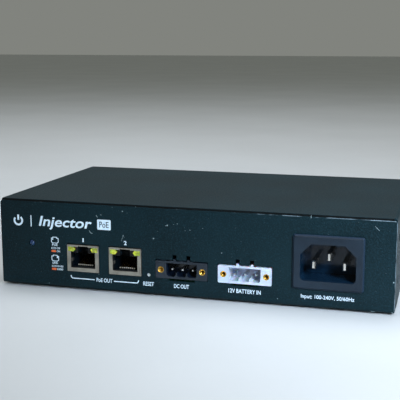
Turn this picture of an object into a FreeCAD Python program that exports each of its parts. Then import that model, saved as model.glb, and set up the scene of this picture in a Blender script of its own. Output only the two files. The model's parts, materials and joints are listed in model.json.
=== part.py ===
"""Two-port power-over-ethernet injector with battery backup, in millimetres.

The origin lies under the middle of the whole object, on the surface that its feet stand on.
+X points to the right of the front panel, +Y to the rear and +Z up.
"""

import FreeCAD, Part
import math
import os
import re
import Sketcher

# Driving dimensions: name, value in millimetres (or a plain count), meaning.
SIZES = [
    ("case_width", 192.0, "outside width of front panel and cover"),
    ("case_height", 43.0, "height of the case above its feet"),
    ("case_depth", 114.0, "front face of the panel to the rear face"),
    ("foot_height", 1.0, "stuck-on rubber foot"),
    ("foot_radius", 6.0, ""),
    ("foot_inset", 14.0, "foot centre from each edge"),
    ("steel", 1.0, "sheet thickness of base and cover"),
    ("bend_inside", 0.5, "inside radius of every bend"),
    ("panel_corner", 1.3, "corner radius of the front panel's outline"),
    ("panel_edge", 0.35, "rounded front edge of the panel"),
    ("cover_gap", 0.5, "gap between the panel's back and the cover's sides"),
    ("cover_set_back", 0.35, "cover's front edge, on top of the panel, behind the panel face"),
    ("cover_edge", 0.15, "rounded front edge of the cover's top"),
    ("slip", 0.1, "sliding gap between cover and base"),
    ("cover_lift", 0.2, "cover's lower edge above the base's underside"),
    ("flange_height", 12.0, "upturned side flange of the base"),
    ("rear_lip", 10.0, "rear panel's top flange"),
    ("rail_drop", 8.0, "vertical leg of the rail behind the panel"),
    ("rail_reach", 10.0, "horizontal leg of that rail"),
    ("ear_tab_start", 7.0, "front edge of the rack-ear tab behind the panel face"),
    ("ear_tab_length", 20.0, ""),
    ("ear_tab_top_gap", 5.0, "tab's upper end below the cover"),
    ("ear_spacing", 20.0, "rack-ear holes, one above the other"),
    ("ear_thread_radius", 1.65, "M4 tapping hole"),
    ("ear_clear_radius", 2.25, "M4 clearance in the cover"),
    ("cover_screw_height", 5.0, "cover screws above the base's underside"),
    ("cover_screw_end", 16.0, "first and last cover screw from the case ends"),
    ("screw_thread_radius", 1.25, "M3 tapping hole"),
    ("screw_clear_radius", 1.75, "M3 clearance in the cover"),
    ("sink_depth", 0.9, "countersink in the cover"),
    ("cover_screw_length", 5.0, ""),
    ("key_radius", 0.85, "round driver socket in a cover screw"),
    ("key_depth", 0.7, ""),
    ("vent_slot_width", 2.2, ""),
    ("side_vent_height", 16.0, ""),
    ("rear_vent_height", 18.0, ""),
    ("vent_pitch", 5.0, ""),
    ("vent_height", 25.0, "middle of the vents above the base's underside"),
    ("side_vent_start", 40.0, "first side vent behind the panel face"),
    ("side_vent_end", 14.0, "last side vent from the rear face"),
    ("rear_vent_side", 32.0, "outer rear vents from the case sides"),
    ("keyhole_spacing", 120.0, "between the two wall-hanging keyholes"),
    ("keyhole_radius", 4.0, "screw-head end"),
    ("keyhole_slot", 4.4, "width of the narrow end"),
    ("keyhole_length", 9.0, "from the round end's centre to the narrow end's"),
    ("sheet_thickness", 0.4, "insulating film under the board"),
    ("standoff_height", 5.9, ""),
    ("standoff_radius", 2.75, ""),
    ("board_thickness", 1.6, ""),
    ("board_side_gap", 3.0, "board edge to the flange"),
    ("board_front", 2.4, "board's front edge behind the panel face"),
    ("board_rear", 3.5, "board's rear edge from the rear face"),
    ("board_screw_inset", 6.0, "screw centre from the board's edges"),
    ("board_screw_front", 12.0, "front board screws from the board's front edge"),
    ("screw_head_radius", 2.75, "pan head"),
    ("screw_head_height", 1.9, ""),
    ("screw_shank_radius", 1.2, ""),
    ("cut_gap", 0.15, "clearance of connectors in the panel's cut-outs"),
    # network jacks
    ("jack_left", 43.65, "first jack's centre from the panel's left edge"),
    ("jack_pitch", 21.7, ""),
    ("jack_width", 16.4, ""),
    ("jack_height", 13.2, ""),
    ("jack_depth", 21.3, ""),
    ("jack_proud", 0.3, "jack's face in front of the panel"),
    ("jack_top_gap", 0.55, "dark gap above each jack"),
    ("shield_wall", 0.3, ""),
    ("shell_gap", 0.05, "plastic body inside its shield"),
    ("mouth_width", 12.7, "opening in the shield"),
    ("mouth_low", 1.9, "its lower edge above the board"),
    ("lens_low", 9.9, "lower edge of the lens windows above the board"),
    ("lens_high", 12.2, "upper edge of the lens windows"),
    ("lens_outer", 7.65, "outer end of a lens from the jack's middle"),
    ("lens_inner", 3.95, "pointed inner end of a lens"),
    ("lens_point", 0.9, "length of that point"),
    ("lens_depth", 7.0, ""),
    ("latch_high", 12.6, "top of the latch notch"),
    ("latch_width", 5.2, ""),
    ("plug_width", 11.9, "plug cavity"),
    ("plug_low", 2.2, "cavity floor above the board"),
    ("plug_high", 9.3, "cavity roof beside the latch"),
    ("plug_depth", 14.0, "cavity depth behind the panel face"),
    ("contact_pitch", 1.02, ""),
    ("contact_width", 0.45, ""),
    ("contact_gauge", 0.35, "thickness of a contact spring"),
    ("contact_start", 3.0, "tip behind the panel face"),
    ("contact_bend", 11.0, "where the spring levels out"),
    ("contact_height", 4.9, "level part above the board"),
    ("contact_tail", 17.0, "tail behind the panel face"),
    # pluggable power headers
    ("dc_gap", 3.7, "output header's flange right of the reset button's axis"),
    ("header_pitch", 30.48, "between the two headers"),
    ("flange_width", 25.4, ""),
    ("header_height", 8.4, ""),
    ("header_depth", 12.0, ""),
    ("header_proud", 0.3, ""),
    ("flange_depth", 4.5, ""),
    ("shell_width", 17.2, ""),
    ("pole_pitch", 5.08, ""),
    ("cavity_width", 15.1, ""),
    ("cavity_low", 2.9, "top of the ridges between the cells"),
    ("cell_low", 1.0, "floor of the three cells"),
    ("cell_width", 4.6, ""),
    ("cell_round", 1.2, ""),
    ("cavity_high", 7.5, ""),
    ("cavity_depth", 8.6, ""),
    ("pin_back", 9.8, "rear face of the wall that the pins sit in"),
    ("pin_axis", 4.1, "pins and screw inserts above the board"),
    ("pin_side", 1.0, "square pin"),
    ("pin_start", 1.6, "pin tip behind the panel face"),
    ("pin_leg", 10.6, "soldered leg behind the panel face"),
    ("insert_spacing", 20.32, "between the two M2.5 inserts"),
    ("insert_outer", 1.5, ""),
    ("insert_bore", 1.05, "M2.5 thread's inner radius"),
    ("insert_length", 4.0, ""),
    ("insert_recess", 0.1, ""),
    ("key_rib_offset", 3.4, "two ribs on top of each header"),
    ("key_rib_width", 1.2, ""),
    ("key_rib_height", 0.9, ""),
    ("key_rib_length", 8.0, ""),
    ("code_rib_width", 1.5, "three small ribs on the output header"),
    ("code_rib_height", 0.3, ""),
    ("notch_width", 2.0, "panel notches over the ribs"),
    ("notch_height", 3.0, "above the header"),
    ("header_top_gap", 0.6, "panel cut-out above the header"),
    ("under_slot_width", 13.0, "slot under each header"),
    ("under_slot_height", 1.2, ""),
    # mains inlet
    ("inlet_right", 29.7, "inlet's centre from the panel's right edge"),
    ("inlet_rise", 12.7, "inlet's centre above the board"),
    ("inlet_width", 32.2, ""),
    ("inlet_height", 25.2, ""),
    ("inlet_proud", 1.6, ""),
    ("inlet_bevel", 0.85, ""),
    ("inlet_corner", 1.2, ""),
    ("inlet_body_width", 27.4, ""),
    ("inlet_body_height", 20.4, ""),
    ("inlet_body_depth", 19.0, "behind the panel face"),
    ("recess_width", 25.1, ""),
    ("recess_height", 17.0, ""),
    ("recess_slant", 5.0, "slanted upper corners"),
    ("recess_round", 2.0, "rounded lower corners"),
    ("recess_depth", 15.0, "behind the panel face"),
    ("blade_width", 2.0, ""),
    ("blade_height", 4.0, ""),
    ("blade_bevel", 0.5, "bevelled tip"),
    ("blade_start", 2.4, "blade tip behind the panel face"),
    ("blade_spread", 7.0, "outer blades from the middle"),
    ("blade_step", 2.0, "earth blade above and the others below the middle"),
    ("tab_width", 0.8, "solderless terminal tab"),
    ("tab_height", 4.8, ""),
    ("tab_end", 27.0, "tab's end behind the panel face"),
    ("latch_reach", 1.2, "snap hooks beside the inlet's body"),
    ("latch_length", 5.0, ""),
    ("latch_span", 8.0, ""),
    ("sleeve_start", 20.0, "terminal sleeve's front end behind the panel face"),
    ("sleeve_end", 34.0, "terminal sleeve's rear end behind the panel face"),
    ("sleeve_width", 3.8, ""),
    ("sleeve_height", 6.6, ""),
    ("wire_radius", 1.4, ""),
    ("wire_bend", 6.0, "radius of each bend on the wire's axis"),
    ("wire_lead", 3.0, "straight part after the sleeve"),
    ("earth_side", 10.0, "earth screw's axis from the right side"),
    ("earth_rise", 9.0, "earth screw above the earth wire"),
    ("lug_gauge", 0.8, ""),
    ("lug_width", 8.0, ""),
    ("lug_barrel", 8.0, "length of its barrel"),
    ("lug_barrel_radius", 2.1, ""),
    ("earth_shank_radius", 2.0, "M4 screw"),
    ("earth_head_radius", 3.9, ""),
    ("rear_proud", 2.6, "screw head behind the rear face"),
    ("nut_radius", 4.0, "across the corners"),
    ("nut_height", 3.2, ""),
    ("earth_shank_length", 8.0, ""),
    ("earth_crown", 0.9, "rounded rim of the screw's head"),
    ("cross_length", 4.6, "cross slot in the screw's head"),
    ("cross_width", 0.9, ""),
    ("cross_depth", 1.3, ""),
    ("thread_gap", 0.02, "screw inside its nut"),
    # status light
    ("light_left", 16.6, "from the panel's left edge"),
    ("light_rise", 12.8, "above the board"),
    ("light_radius", 1.5, ""),
    ("light_gap", 0.1, ""),
    ("light_proud", 0.5, "top of its dome in front of the panel"),
    ("light_length", 5.0, "behind the panel face"),
    ("holder_start", 2.0, "holder behind the panel face"),
    ("holder_width", 5.2, ""),
    ("holder_depth", 5.0, ""),
    ("leg_side", 0.5, "square legs of the light"),
    ("leg_spread", 1.27, ""),
    ("leg_gap", 1.5, "legs turn down this far behind the holder"),
    # reset button
    ("reset_gap", 3.55, "its axis right of the second jack"),
    ("reset_rise", 0.8, "above the board"),
    ("reset_hole_radius", 1.05, ""),
    ("plunger_radius", 0.75, ""),
    ("plunger_gap", 0.15, "gap all round in the switch"),
    ("plunger_recess", 0.5, "plunger's end behind the panel face"),
    ("collar_radius", 1.15, ""),
    ("collar_length", 0.6, ""),
    ("travel", 0.25, ""),
    ("switch_front", 3.4, "switch's face behind the panel face"),
    ("switch_plate", 0.3, ""),
    ("switch_width", 6.4, ""),
    ("switch_height", 3.2, ""),
    ("switch_depth", 3.6, ""),
    # parts on the board
    ("fuse_radius", 2.6, ""),
    ("fuse_length", 20.0, ""),
    ("fuse_rise", 5.0, ""),
    ("clip_length", 4.0, ""),
    ("clip_gauge", 0.8, ""),
    ("ring_outer", 9.0, "toroid cores"),
    ("ring_inner", 5.0, ""),
    ("ring_height", 7.0, ""),
    ("ring_rise", 2.0, ""),
    ("winding_wrap", 1.2, "thickness of the wire layer round a core"),
    ("bulk_radius", 11.0, ""),
    ("bulk_height", 28.0, ""),
    ("output_radius", 6.2, ""),
    ("output_height", 25.0, ""),
    ("core_length", 34.0, "transformer core along X"),
    ("core_width", 12.0, ""),
    ("core_height", 26.0, ""),
    ("core_limb", 5.5, "outer limbs and yokes"),
    ("core_centre", 11.0, "middle limb"),
    ("coil_width", 26.0, "winding across the core"),
    ("sink_gauge", 2.5, "heat-sink plate"),
    ("sink_height", 26.0, ""),
    ("primary_sink_length", 42.0, ""),
    ("secondary_sink_length", 36.0, ""),
    ("fin_reach", 4.0, ""),
    ("fin_gauge", 1.5, ""),
    ("fin_pitch", 8.0, ""),
    ("package_width", 10.0, "transistor and diode packages"),
    ("package_gauge", 4.5, ""),
    ("package_height", 15.0, ""),
    ("package_rise", 5.0, ""),
    ("package_leg", 0.8, ""),
    ("package_leg_pitch", 2.54, ""),
    ("disc_radius", 4.0, "disc capacitors"),
    ("disc_gauge", 3.0, ""),
    ("disc_rise", 5.0, ""),
    ("disc_spread", 9.0, ""),
    ("can_pitch", 15.0, "between the output capacitors"),
    ("relay_start", 28.0, "relay's middle behind the panel face"),
    ("relay_wide", 19.0, ""),
    ("relay_deep", 15.4, ""),
    ("relay_tall", 15.0, ""),
    ("line_start", 31.3, "line transformers' middle behind the panel face"),
    ("line_wide", 15.0, ""),
    ("line_deep", 12.0, ""),
    ("line_tall", 6.0, ""),
    ("chip_side", 7.0, ""),
    ("chip_tall", 1.2, ""),
    ("chip_pitch", 14.0, ""),
]

# Places of board parts: the part's middle from the case's right side and from its rear face.
PLACES = [
    ("mains_fuse", 23.0, 49.0),
    ("choke", 46.0, 53.0),
    ("x_capacitor", 24.0, 28.0),
    ("y_capacitors", 48.5, 36.0),
    ("bridge_rectifier", 46.0, 28.0),
    ("bulk_capacitor", 76.0, 22.0),
    ("transformer", 84.0, 53.0),
    ("primary_heat_sink", 40.0, 12.0),
    ("secondary_heat_sink", 108.0, 36.0),
    ("output_capacitors", 124.0, 37.0),
    ("inductor", 144.0, 36.0),
    ("optocoupler", 104.0, 14.0),
    ("chips", 168.0, 32.0),
]

# Plain blocks on the board: sizes along X, Y and Z.
BLOCKS = [
    ("x_capacitor", 18.0, 8.0, 14.0),
    ("bridge_rectifier", 20.0, 4.0, 16.0),
    ("optocoupler", 4.6, 6.5, 3.5),
]

for part, right, rear in PLACES:
    SIZES += [(part + "_right", right, "from the right side"), (part + "_rear", rear, "from the rear face")]
for part, wide, deep, tall in BLOCKS:
    SIZES += [(part + "_wide", wide, ""), (part + "_deep", deep, ""), (part + "_tall", tall, "")]

NAMES = {name for name, value, meaning in SIZES}

document = FreeCAD.newDocument("poe_injector")
sheet = document.addObject("Spreadsheet::Sheet", "sizes")
for row, (name, value, meaning) in enumerate(SIZES, start=1):
    sheet.set("A%d" % row, name)
    sheet.set("B%d" % row, str(value))
    sheet.setAlias("B%d" % row, name)
    sheet.set("C%d" % row, meaning)
document.recompute()

pieces = {}

# Shared places, as expressions of the driving dimensions.
FRONT = "((inlet_proud - rear_proud - case_depth) / 2)"
REAR = f"({FRONT} + case_depth)"
LEFT = "(-case_width / 2)"
RIGHT = "(case_width / 2)"
UNDER = "foot_height"
TOP = "(foot_height + case_height)"
FLOOR = "(foot_height + steel)"
LIP = "(foot_height + case_height - steel - slip)"
SIDE = "(case_width / 2 - steel - slip)"
BOARD_UNDER = f"({FLOOR} + standoff_height)"
BOARD = f"({BOARD_UNDER} + board_thickness)"
BOARD_SIDE = f"({SIDE} - steel - board_side_gap)"
BOARD_SCREW_X = f"({BOARD_SIDE} - board_screw_inset)"
BOARD_SCREW_FRONT = f"({FRONT} + board_front + board_screw_front)"
BOARD_SCREW_REAR = f"({REAR} - board_rear - board_screw_inset)"
JACK_X = [f"({LEFT} + jack_left)", f"({LEFT} + jack_left + jack_pitch)"]
RESET_X = f"({JACK_X[1]} + jack_width / 2 + reset_gap)"
HEADER_X = [f"({RESET_X} + dc_gap + flange_width / 2{further})" for further in ("", " + header_pitch")]
INLET_X = f"({RIGHT} - inlet_right)"
INLET_Z = f"({BOARD} + inlet_rise)"
EARTH_Z = f"({INLET_Z} + blade_step)"
EARTH_X = f"({RIGHT} - earth_side)"
EARTH_SCREW_Z = f"({EARTH_Z} + earth_rise)"
LIGHT_X = f"({LEFT} + light_left)"
LIGHT_Z = f"({BOARD} + light_rise)"
RESET_Z = f"({BOARD} + reset_rise)"
EAR_Y = f"({FRONT} + ear_tab_start + ear_tab_length / 2)"
EAR_Z = [f"(foot_height + case_height / 2 {side} ear_spacing / 2)" for side in "-+"]
COVER_SCREW_Z = "(foot_height + cover_screw_height)"
COVER_SCREW_Y = [f"({FRONT} + 2 * cover_screw_end)", f"({FRONT} + case_depth / 2 + cover_screw_end / 2)",
                 f"({REAR} - cover_screw_end)"]

TURNS = {
    "z": FreeCAD.Rotation(),
    "y": FreeCAD.Rotation(FreeCAD.Vector(1, 0, 0), -90),
    "-y": FreeCAD.Rotation(FreeCAD.Vector(1, 0, 0), 90),
    "x": FreeCAD.Rotation(FreeCAD.Vector(0, 1, 0), 90),
    "-x": FreeCAD.Rotation(FreeCAD.Vector(0, 1, 0), -90),
}


def bind(text):
    """Put the sheet's name before each driving dimension in an expression."""
    def refer(word):
        return "sizes." + word.group() if word.group() in NAMES else word.group()
    return re.sub(r"[a-z][a-z0-9_]*", refer, str(text))


def number(text):
    """Work out an expression's present value."""
    return float(sheet.evalExpression(bind(text)))


def place(item, corner, turn="z"):
    """Bind an object's position to three expressions."""
    item.Placement = FreeCAD.Placement(FreeCAD.Vector(), TURNS[turn])
    for axis, text in zip("xyz", corner):
        item.setExpression("Placement.Base." + axis, bind(text))
    return item


def keep(item, label):
    """Name a finished piece after its node."""
    item.Label = label
    pieces[label] = item
    return item


# Part primitives and booleans

def box(name, corner, size):
    """A block from its lowest corner and its three sizes."""
    item = document.addObject("Part::Box", name)
    for side, text in zip(("Length", "Width", "Height"), size):
        item.setExpression(side, bind(text))
    return place(item, corner)


def middle_box(name, middle, size):
    """A block centred in X and Y that stands on its given height."""
    corner = (f"{middle[0]} - ({size[0]}) / 2", f"{middle[1]} - ({size[1]}) / 2", middle[2])
    return box(name, corner, size)


def cylinder(name, start, radius, length, turn="z"):
    """A round bar from the middle of its first end, along the given direction."""
    item = document.addObject("Part::Cylinder", name)
    item.setExpression("Radius", bind(radius))
    item.setExpression("Height", bind(length))
    return place(item, start, turn)


def fuse(name, items):
    """Join solids into one."""
    item = document.addObject("Part::MultiFuse", name)
    item.Shapes = items
    item.Refine = True
    return item


def cut(name, base, tools):
    """Take the tools away from the base."""
    item = document.addObject("Part::Cut", name)
    item.Base = base
    item.Tool = tools[0] if len(tools) == 1 else fuse(name + "_tools", tools)
    return item


def group(name, items):
    """Keep several separate solids in one piece."""
    item = document.addObject("Part::Compound", name)
    item.Links = items
    return item


def copies(name, master, corners):
    """Repeat one solid at several places, as one piece of separate solids."""
    links = []
    for index, corner in enumerate(corners):
        link = document.addObject("App::Link", "%s_%d" % (name, index + 1))
        link.LinkedObject = master
        links.append(place(link, corner))
    return group(name, links)


# Bodies with sketches

def body(name, corner=("0", "0", "0")):
    """An empty body whose own origin lies at the given place."""
    item = document.addObject("PartDesign::Body", name)
    item.AllowCompound = True
    return place(item, corner)


def sketch(owner, role, height="0"):
    """A sketch on one of its body's origin planes, moved along that plane's normal."""
    plane = [item for item in owner.Origin.OriginFeatures if item.Role == role][0]
    item = owner.newObject("Sketcher::SketchObject", owner.Name + "_sketch")
    item.AttachmentSupport = [(plane, "")]
    item.MapMode = "FlatFace"
    item.setExpression("AttachmentOffset.Base.z", bind(height))
    return item


def pin_point(item, edge, point, place_text):
    """Hold one point of a sketch at two bound distances from the sketch's origin."""
    for kind, text in zip(("DistanceX", "DistanceY"), place_text):
        index = item.addConstraint(Sketcher.Constraint(kind, -1, 1, edge, point, number(text)))
        item.setExpression("Constraints[%d]" % index, bind(text))


def outline(item, corners):
    """Draw a closed outline of straight lines with bound corners."""
    first = item.GeometryCount
    points = [FreeCAD.Vector(number(across), number(up), 0) for across, up in corners]
    count = len(corners)
    for index, point in enumerate(points):
        item.addGeometry(Part.LineSegment(point, points[(index + 1) % count]), False)
    for index, corner in enumerate(corners):
        following = first + (index + 1) % count
        item.addConstraint(Sketcher.Constraint("Coincident", first + index, 2, following, 1))
        pin_point(item, first + index, 1, corner)


def rectangle(item, low_x, high_x, low_y, high_y):
    """Draw a rectangle from its four bound sides."""
    outline(item, [(low_x, low_y), (high_x, low_y), (high_x, high_y), (low_x, high_y)])


def circle(item, middle, radius):
    """Draw a circle with bound centre and radius."""
    centre = FreeCAD.Vector(number(middle[0]), number(middle[1]), 0)
    edge = item.addGeometry(Part.Circle(centre, FreeCAD.Vector(0, 0, 1), number(radius)), False)
    pin_point(item, edge, 3, middle)
    index = item.addConstraint(Sketcher.Constraint("Radius", edge, number(radius)))
    item.setExpression("Constraints[%d]" % index, bind(radius))


def upright_slot(item, across, low, high, width):
    """Draw a slot with round ends, its arcs' centres one above the other."""
    bottom = FreeCAD.Vector(number(across), number(low), 0)
    top = FreeCAD.Vector(number(across), number(high), 0)
    half = number(width) / 2
    up = FreeCAD.Vector(0, 0, 1)
    side = FreeCAD.Vector(half, 0, 0)
    first = item.GeometryCount
    item.addGeometry(Part.LineSegment(bottom + side, top + side), False)
    item.addGeometry(Part.ArcOfCircle(Part.Circle(top, up, half), 0, math.pi), False)
    item.addGeometry(Part.LineSegment(top - side, bottom - side), False)
    item.addGeometry(Part.ArcOfCircle(Part.Circle(bottom, up, half), math.pi, 2 * math.pi), False)
    for index in range(4):
        item.addConstraint(Sketcher.Constraint("Tangent", first + index, 2, first + (index + 1) % 4, 1))
    item.addConstraint(Sketcher.Constraint("Equal", first + 1, first + 3))
    pin_point(item, first + 1, 3, (across, high))
    pin_point(item, first + 3, 3, (across, low))
    index = item.addConstraint(Sketcher.Constraint("Radius", first + 1, half))
    item.setExpression("Constraints[%d]" % index, bind(f"({width}) / 2"))


def corner_waste(item, corner, radius, side):
    """Draw what a rounding takes off a square lower corner on the right (1) or the left (-1)."""
    across, low = corner
    size = number(radius)
    square = FreeCAD.Vector(number(across), number(low), 0)
    flat_end = square - FreeCAD.Vector(side * size, 0, 0)
    rise = FreeCAD.Vector(0, size, 0)
    start = math.pi * (1.25 + 0.25 * side)
    first = item.GeometryCount
    item.addGeometry(Part.LineSegment(flat_end, square), False)
    item.addGeometry(Part.LineSegment(square, square + rise), False)
    round_edge = Part.Circle(flat_end + rise, FreeCAD.Vector(0, 0, 1), size)
    item.addGeometry(Part.ArcOfCircle(round_edge, start, start + math.pi / 2), False)
    arc_ends = (1, 2) if side > 0 else (2, 1)
    item.addConstraint(Sketcher.Constraint("Coincident", first, 2, first + 1, 1))
    item.addConstraint(Sketcher.Constraint("Coincident", first, 1, first + 2, arc_ends[0]))
    item.addConstraint(Sketcher.Constraint("Coincident", first + 1, 2, first + 2, arc_ends[1]))
    item.addConstraint(Sketcher.Constraint("Horizontal", first + 1, 2, first + 2, 3))
    pin_point(item, first, 1, (f"{across} - {side} * {radius}", low))
    pin_point(item, first + 1, 1, corner)
    pin_point(item, first + 2, 3, (f"{across} - {side} * {radius}", f"{low} + {radius}"))


def feature(owner, kind, drawing, length, back=False, both=False):
    """Pad or pocket a sketch by a bound length, one way or both ways."""
    item = owner.newObject("PartDesign::" + kind, owner.Name + "_" + kind.lower())
    item.Profile = drawing
    item.setExpression("Length", bind(length))
    item.Reversed = back
    if both:
        item.SideType = "Symmetric"
    document.recompute()
    return item


def dress(owner, kind, value, test):
    """Round (Fillet) or bevel (Chamfer) the edges that pass a test."""
    base = owner.Tip
    edges = ["Edge%d" % (index + 1) for index, edge in enumerate(base.Shape.Edges) if test(edge)]
    item = owner.newObject("PartDesign::" + kind, owner.Name + "_" + kind.lower())
    item.Base = (base, edges)
    item.setExpression("Radius" if kind == "Fillet" else "Size", bind(value))
    document.recompute()
    return item


def pattern(owner, original, axis_role, length, count):
    """Repeat a feature along an axis of its body."""
    axis = [item for item in owner.Origin.OriginFeatures if item.Role == axis_role][0]
    item = owner.newObject("PartDesign::LinearPattern", owner.Name + "_pattern")
    item.Originals = [original]
    item.Direction = (axis, [""])
    item.setExpression("Length", bind(length))
    item.setExpression("Occurrences", bind(count))
    owner.Tip = item
    document.recompute()
    return item


def near(value, text):
    """Say whether a length equals an expression's value."""
    return abs(value - number(text)) < 1e-4


def runs_along(edge, axis):
    """Say whether an edge is a straight line along X, Y or Z."""
    if edge.Curve.TypeId != "Part::GeomLine":
        return False
    return abs(abs(edge.tangentAt(edge.FirstParameter)["xyz".index(axis)]) - 1) < 1e-6


def along_x_at(places):
    """A test for edges along X that pass through one of several (y, z) places."""
    def test(edge):
        spot = edge.Vertexes[0].Point
        return runs_along(edge, "x") and any(near(spot.y, y) and near(spot.z, z) for y, z in places)
    return test


def along_y_at(places):
    """A test for edges along Y that pass through one of several (x, z) places."""
    def test(edge):
        spot = edge.Vertexes[0].Point
        return runs_along(edge, "y") and any(near(spot.x, x) and near(spot.z, z) for x, z in places)
    return test


# Case

def base_profile(base):
    """Fold floor, front panel and rear panel from one sheet and round its bends."""
    drawing = sketch(base, "YZ_Plane")
    outline(drawing, [
        (FRONT, UNDER), (REAR, UNDER), (REAR, LIP), (f"{REAR} - rear_lip", LIP),
        (f"{REAR} - rear_lip", f"{LIP} - steel"), (f"{REAR} - steel", f"{LIP} - steel"),
        (f"{REAR} - steel", FLOOR), (f"{FRONT} + steel", FLOOR), (f"{FRONT} + steel", LIP), (FRONT, LIP),
    ])
    feature(base, "Pad", drawing, "case_width", both=True)
    dress(base, "Fillet", "steel + bend_inside", along_x_at([(FRONT, UNDER), (REAR, UNDER), (REAR, LIP)]))
    inner = [(f"{REAR} - steel", f"{LIP} - steel"), (f"{REAR} - steel", FLOOR), (f"{FRONT} + steel", FLOOR)]
    dress(base, "Fillet", "bend_inside", along_x_at(inner))


def base_sides(base):
    """Cut the floor back for the cover, then add the side flanges and rack-ear tabs."""
    start = f"{FRONT} + steel + cover_gap"
    drawing = sketch(base, "XY_Plane")
    rectangle(drawing, SIDE, f"{RIGHT} + steel", start, f"{REAR} + steel")
    rectangle(drawing, f"{LEFT} - steel", f"-{SIDE}", start, f"{REAR} + steel")
    feature(base, "Pocket", drawing, f"2 * {TOP}", both=True)
    drawing = sketch(base, "XZ_Plane", f"-({start} + steel)")
    for side in ("", "-"):
        edges = sorted([f"{side}{SIDE}", f"{side}({SIDE} - steel)"], key=number)
        rectangle(drawing, edges[0], edges[1], UNDER, f"{UNDER} + flange_height")
    feature(base, "Pad", drawing, "case_depth - cover_gap - 4 * steel", back=True)
    drawing = sketch(base, "XY_Plane", FLOOR)
    for side in ("", "-"):
        edges = sorted([f"{side}{SIDE}", f"{side}({SIDE} - steel)"], key=number)
        rectangle(drawing, edges[0], edges[1], f"{FRONT} + ear_tab_start",
                  f"{FRONT} + ear_tab_start + ear_tab_length")
    feature(base, "Pad", drawing, f"{LIP} - {FLOOR} - ear_tab_top_gap")
    drawing = sketch(base, "XZ_Plane", f"-({start} + steel)")
    for side in (1, -1):
        corner_waste(drawing, (f"{side} * {SIDE}", UNDER), "(steel - 2 * slip)", side)
    feature(base, "Pocket", drawing, "case_depth - cover_gap - 4 * steel")


def base_front_cuts(base):
    """Cut the panel for jacks, headers, inlet, status light and reset button."""
    drawing = sketch(base, "XZ_Plane", f"-{FRONT}")
    for x in JACK_X:
        half = "(jack_width / 2 + cut_gap)"
        rectangle(drawing, f"{x} - {half}", f"{x} + {half}", f"{BOARD} - cut_gap",
                  f"{BOARD} + jack_height + jack_top_gap")
    for x in HEADER_X:
        half = "(flange_width / 2 + cut_gap)"
        rectangle(drawing, f"{x} - {half}", f"{x} + {half}", f"{BOARD} - cut_gap",
                  f"{BOARD} + header_height + header_top_gap")
    half_wide = "(inlet_body_width / 2 + cut_gap)"
    half_tall = "(inlet_body_height / 2 + cut_gap)"
    rectangle(drawing, f"{INLET_X} - {half_wide}", f"{INLET_X} + {half_wide}",
              f"{INLET_Z} - {half_tall}", f"{INLET_Z} + {half_tall}")
    circle(drawing, (LIGHT_X, LIGHT_Z), "light_radius + light_gap")
    circle(drawing, (RESET_X, RESET_Z), "reset_hole_radius")
    feature(base, "Pocket", drawing, "steel")
    drawing = sketch(base, "XZ_Plane", f"-{FRONT}")
    for x in HEADER_X:
        top = f"{BOARD} + header_height"
        for side in ("-", "+"):
            middle = f"{x} {side} key_rib_offset"
            rectangle(drawing, f"{middle} - notch_width / 2", f"{middle} + notch_width / 2", top,
                      f"{top} + notch_height")
        rectangle(drawing, f"{x} - under_slot_width / 2", f"{x} + under_slot_width / 2",
                  f"{BOARD} - under_slot_height", f"{BOARD} + cut_gap")
    feature(base, "Pocket", drawing, "steel")


def base_rear_cuts(base):
    """Cut the vents and the earth screw's hole in the rear panel."""
    span = "(case_width - 2 * rear_vent_side)"
    low = "foot_height + vent_height - rear_vent_height / 2"
    drawing = sketch(base, "XZ_Plane", f"-({REAR} - steel)")
    upright_slot(drawing, f"-{span} / 2", low, f"{low} + rear_vent_height", "vent_slot_width")
    vent = feature(base, "Pocket", drawing, "2 * steel")
    count = f"floor({span} / vent_pitch) + 1"
    pattern(base, vent, "X_Axis", span, count)
    drawing = sketch(base, "XZ_Plane", f"-({REAR} - steel)")
    circle(drawing, (EARTH_X, EARTH_SCREW_Z), "earth_shank_radius + slip")
    feature(base, "Pocket", drawing, "2 * steel")


def base_holes(base):
    """Drill the side flanges and tabs and cut two keyholes in the floor."""
    drawing = sketch(base, "YZ_Plane")
    for z in EAR_Z:
        circle(drawing, (EAR_Y, z), "ear_thread_radius")
    for y in COVER_SCREW_Y:
        circle(drawing, (y, COVER_SCREW_Z), "screw_thread_radius")
    feature(base, "Pocket", drawing, "case_width", both=True)
    drawing = sketch(base, "XY_Plane", FLOOR)
    for side in ("-", ""):
        middle = f"{side}keyhole_spacing / 2"
        upright_slot(drawing, middle, "-keyhole_length / 2", "keyhole_length / 2", "keyhole_slot")
    feature(base, "Pocket", drawing, "2 * steel")
    drawing = sketch(base, "XY_Plane", FLOOR)
    for side in ("-", ""):
        circle(drawing, (f"{side}keyhole_spacing / 2", "-keyhole_length / 2"), "keyhole_radius")
    feature(base, "Pocket", drawing, "2 * steel")


def base_chassis():
    """Folded steel base: floor, full-width front panel, rear panel and side flanges."""
    base = body("base")
    base_profile(base)
    base_sides(base)
    dress(base, "Fillet", "panel_corner", along_y_at([(RIGHT, LIP), (LEFT, LIP)]))
    dress(base, "Fillet", "bend_inside", along_y_at([(SIDE, LIP), (f"-{SIDE}", LIP)]))

    def front_rim(edge):
        box_of_edge = edge.BoundBox
        flat = near(box_of_edge.YMin, FRONT) and near(box_of_edge.YMax, FRONT)
        outer = near(box_of_edge.ZMax, LIP) or near(box_of_edge.XMax, RIGHT) or near(box_of_edge.XMin, LEFT)
        return flat and outer

    dress(base, "Fillet", "panel_edge", front_rim)
    base_front_cuts(base)
    base_rear_cuts(base)
    base_holes(base)
    keep(base, "base_chassis")


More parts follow.
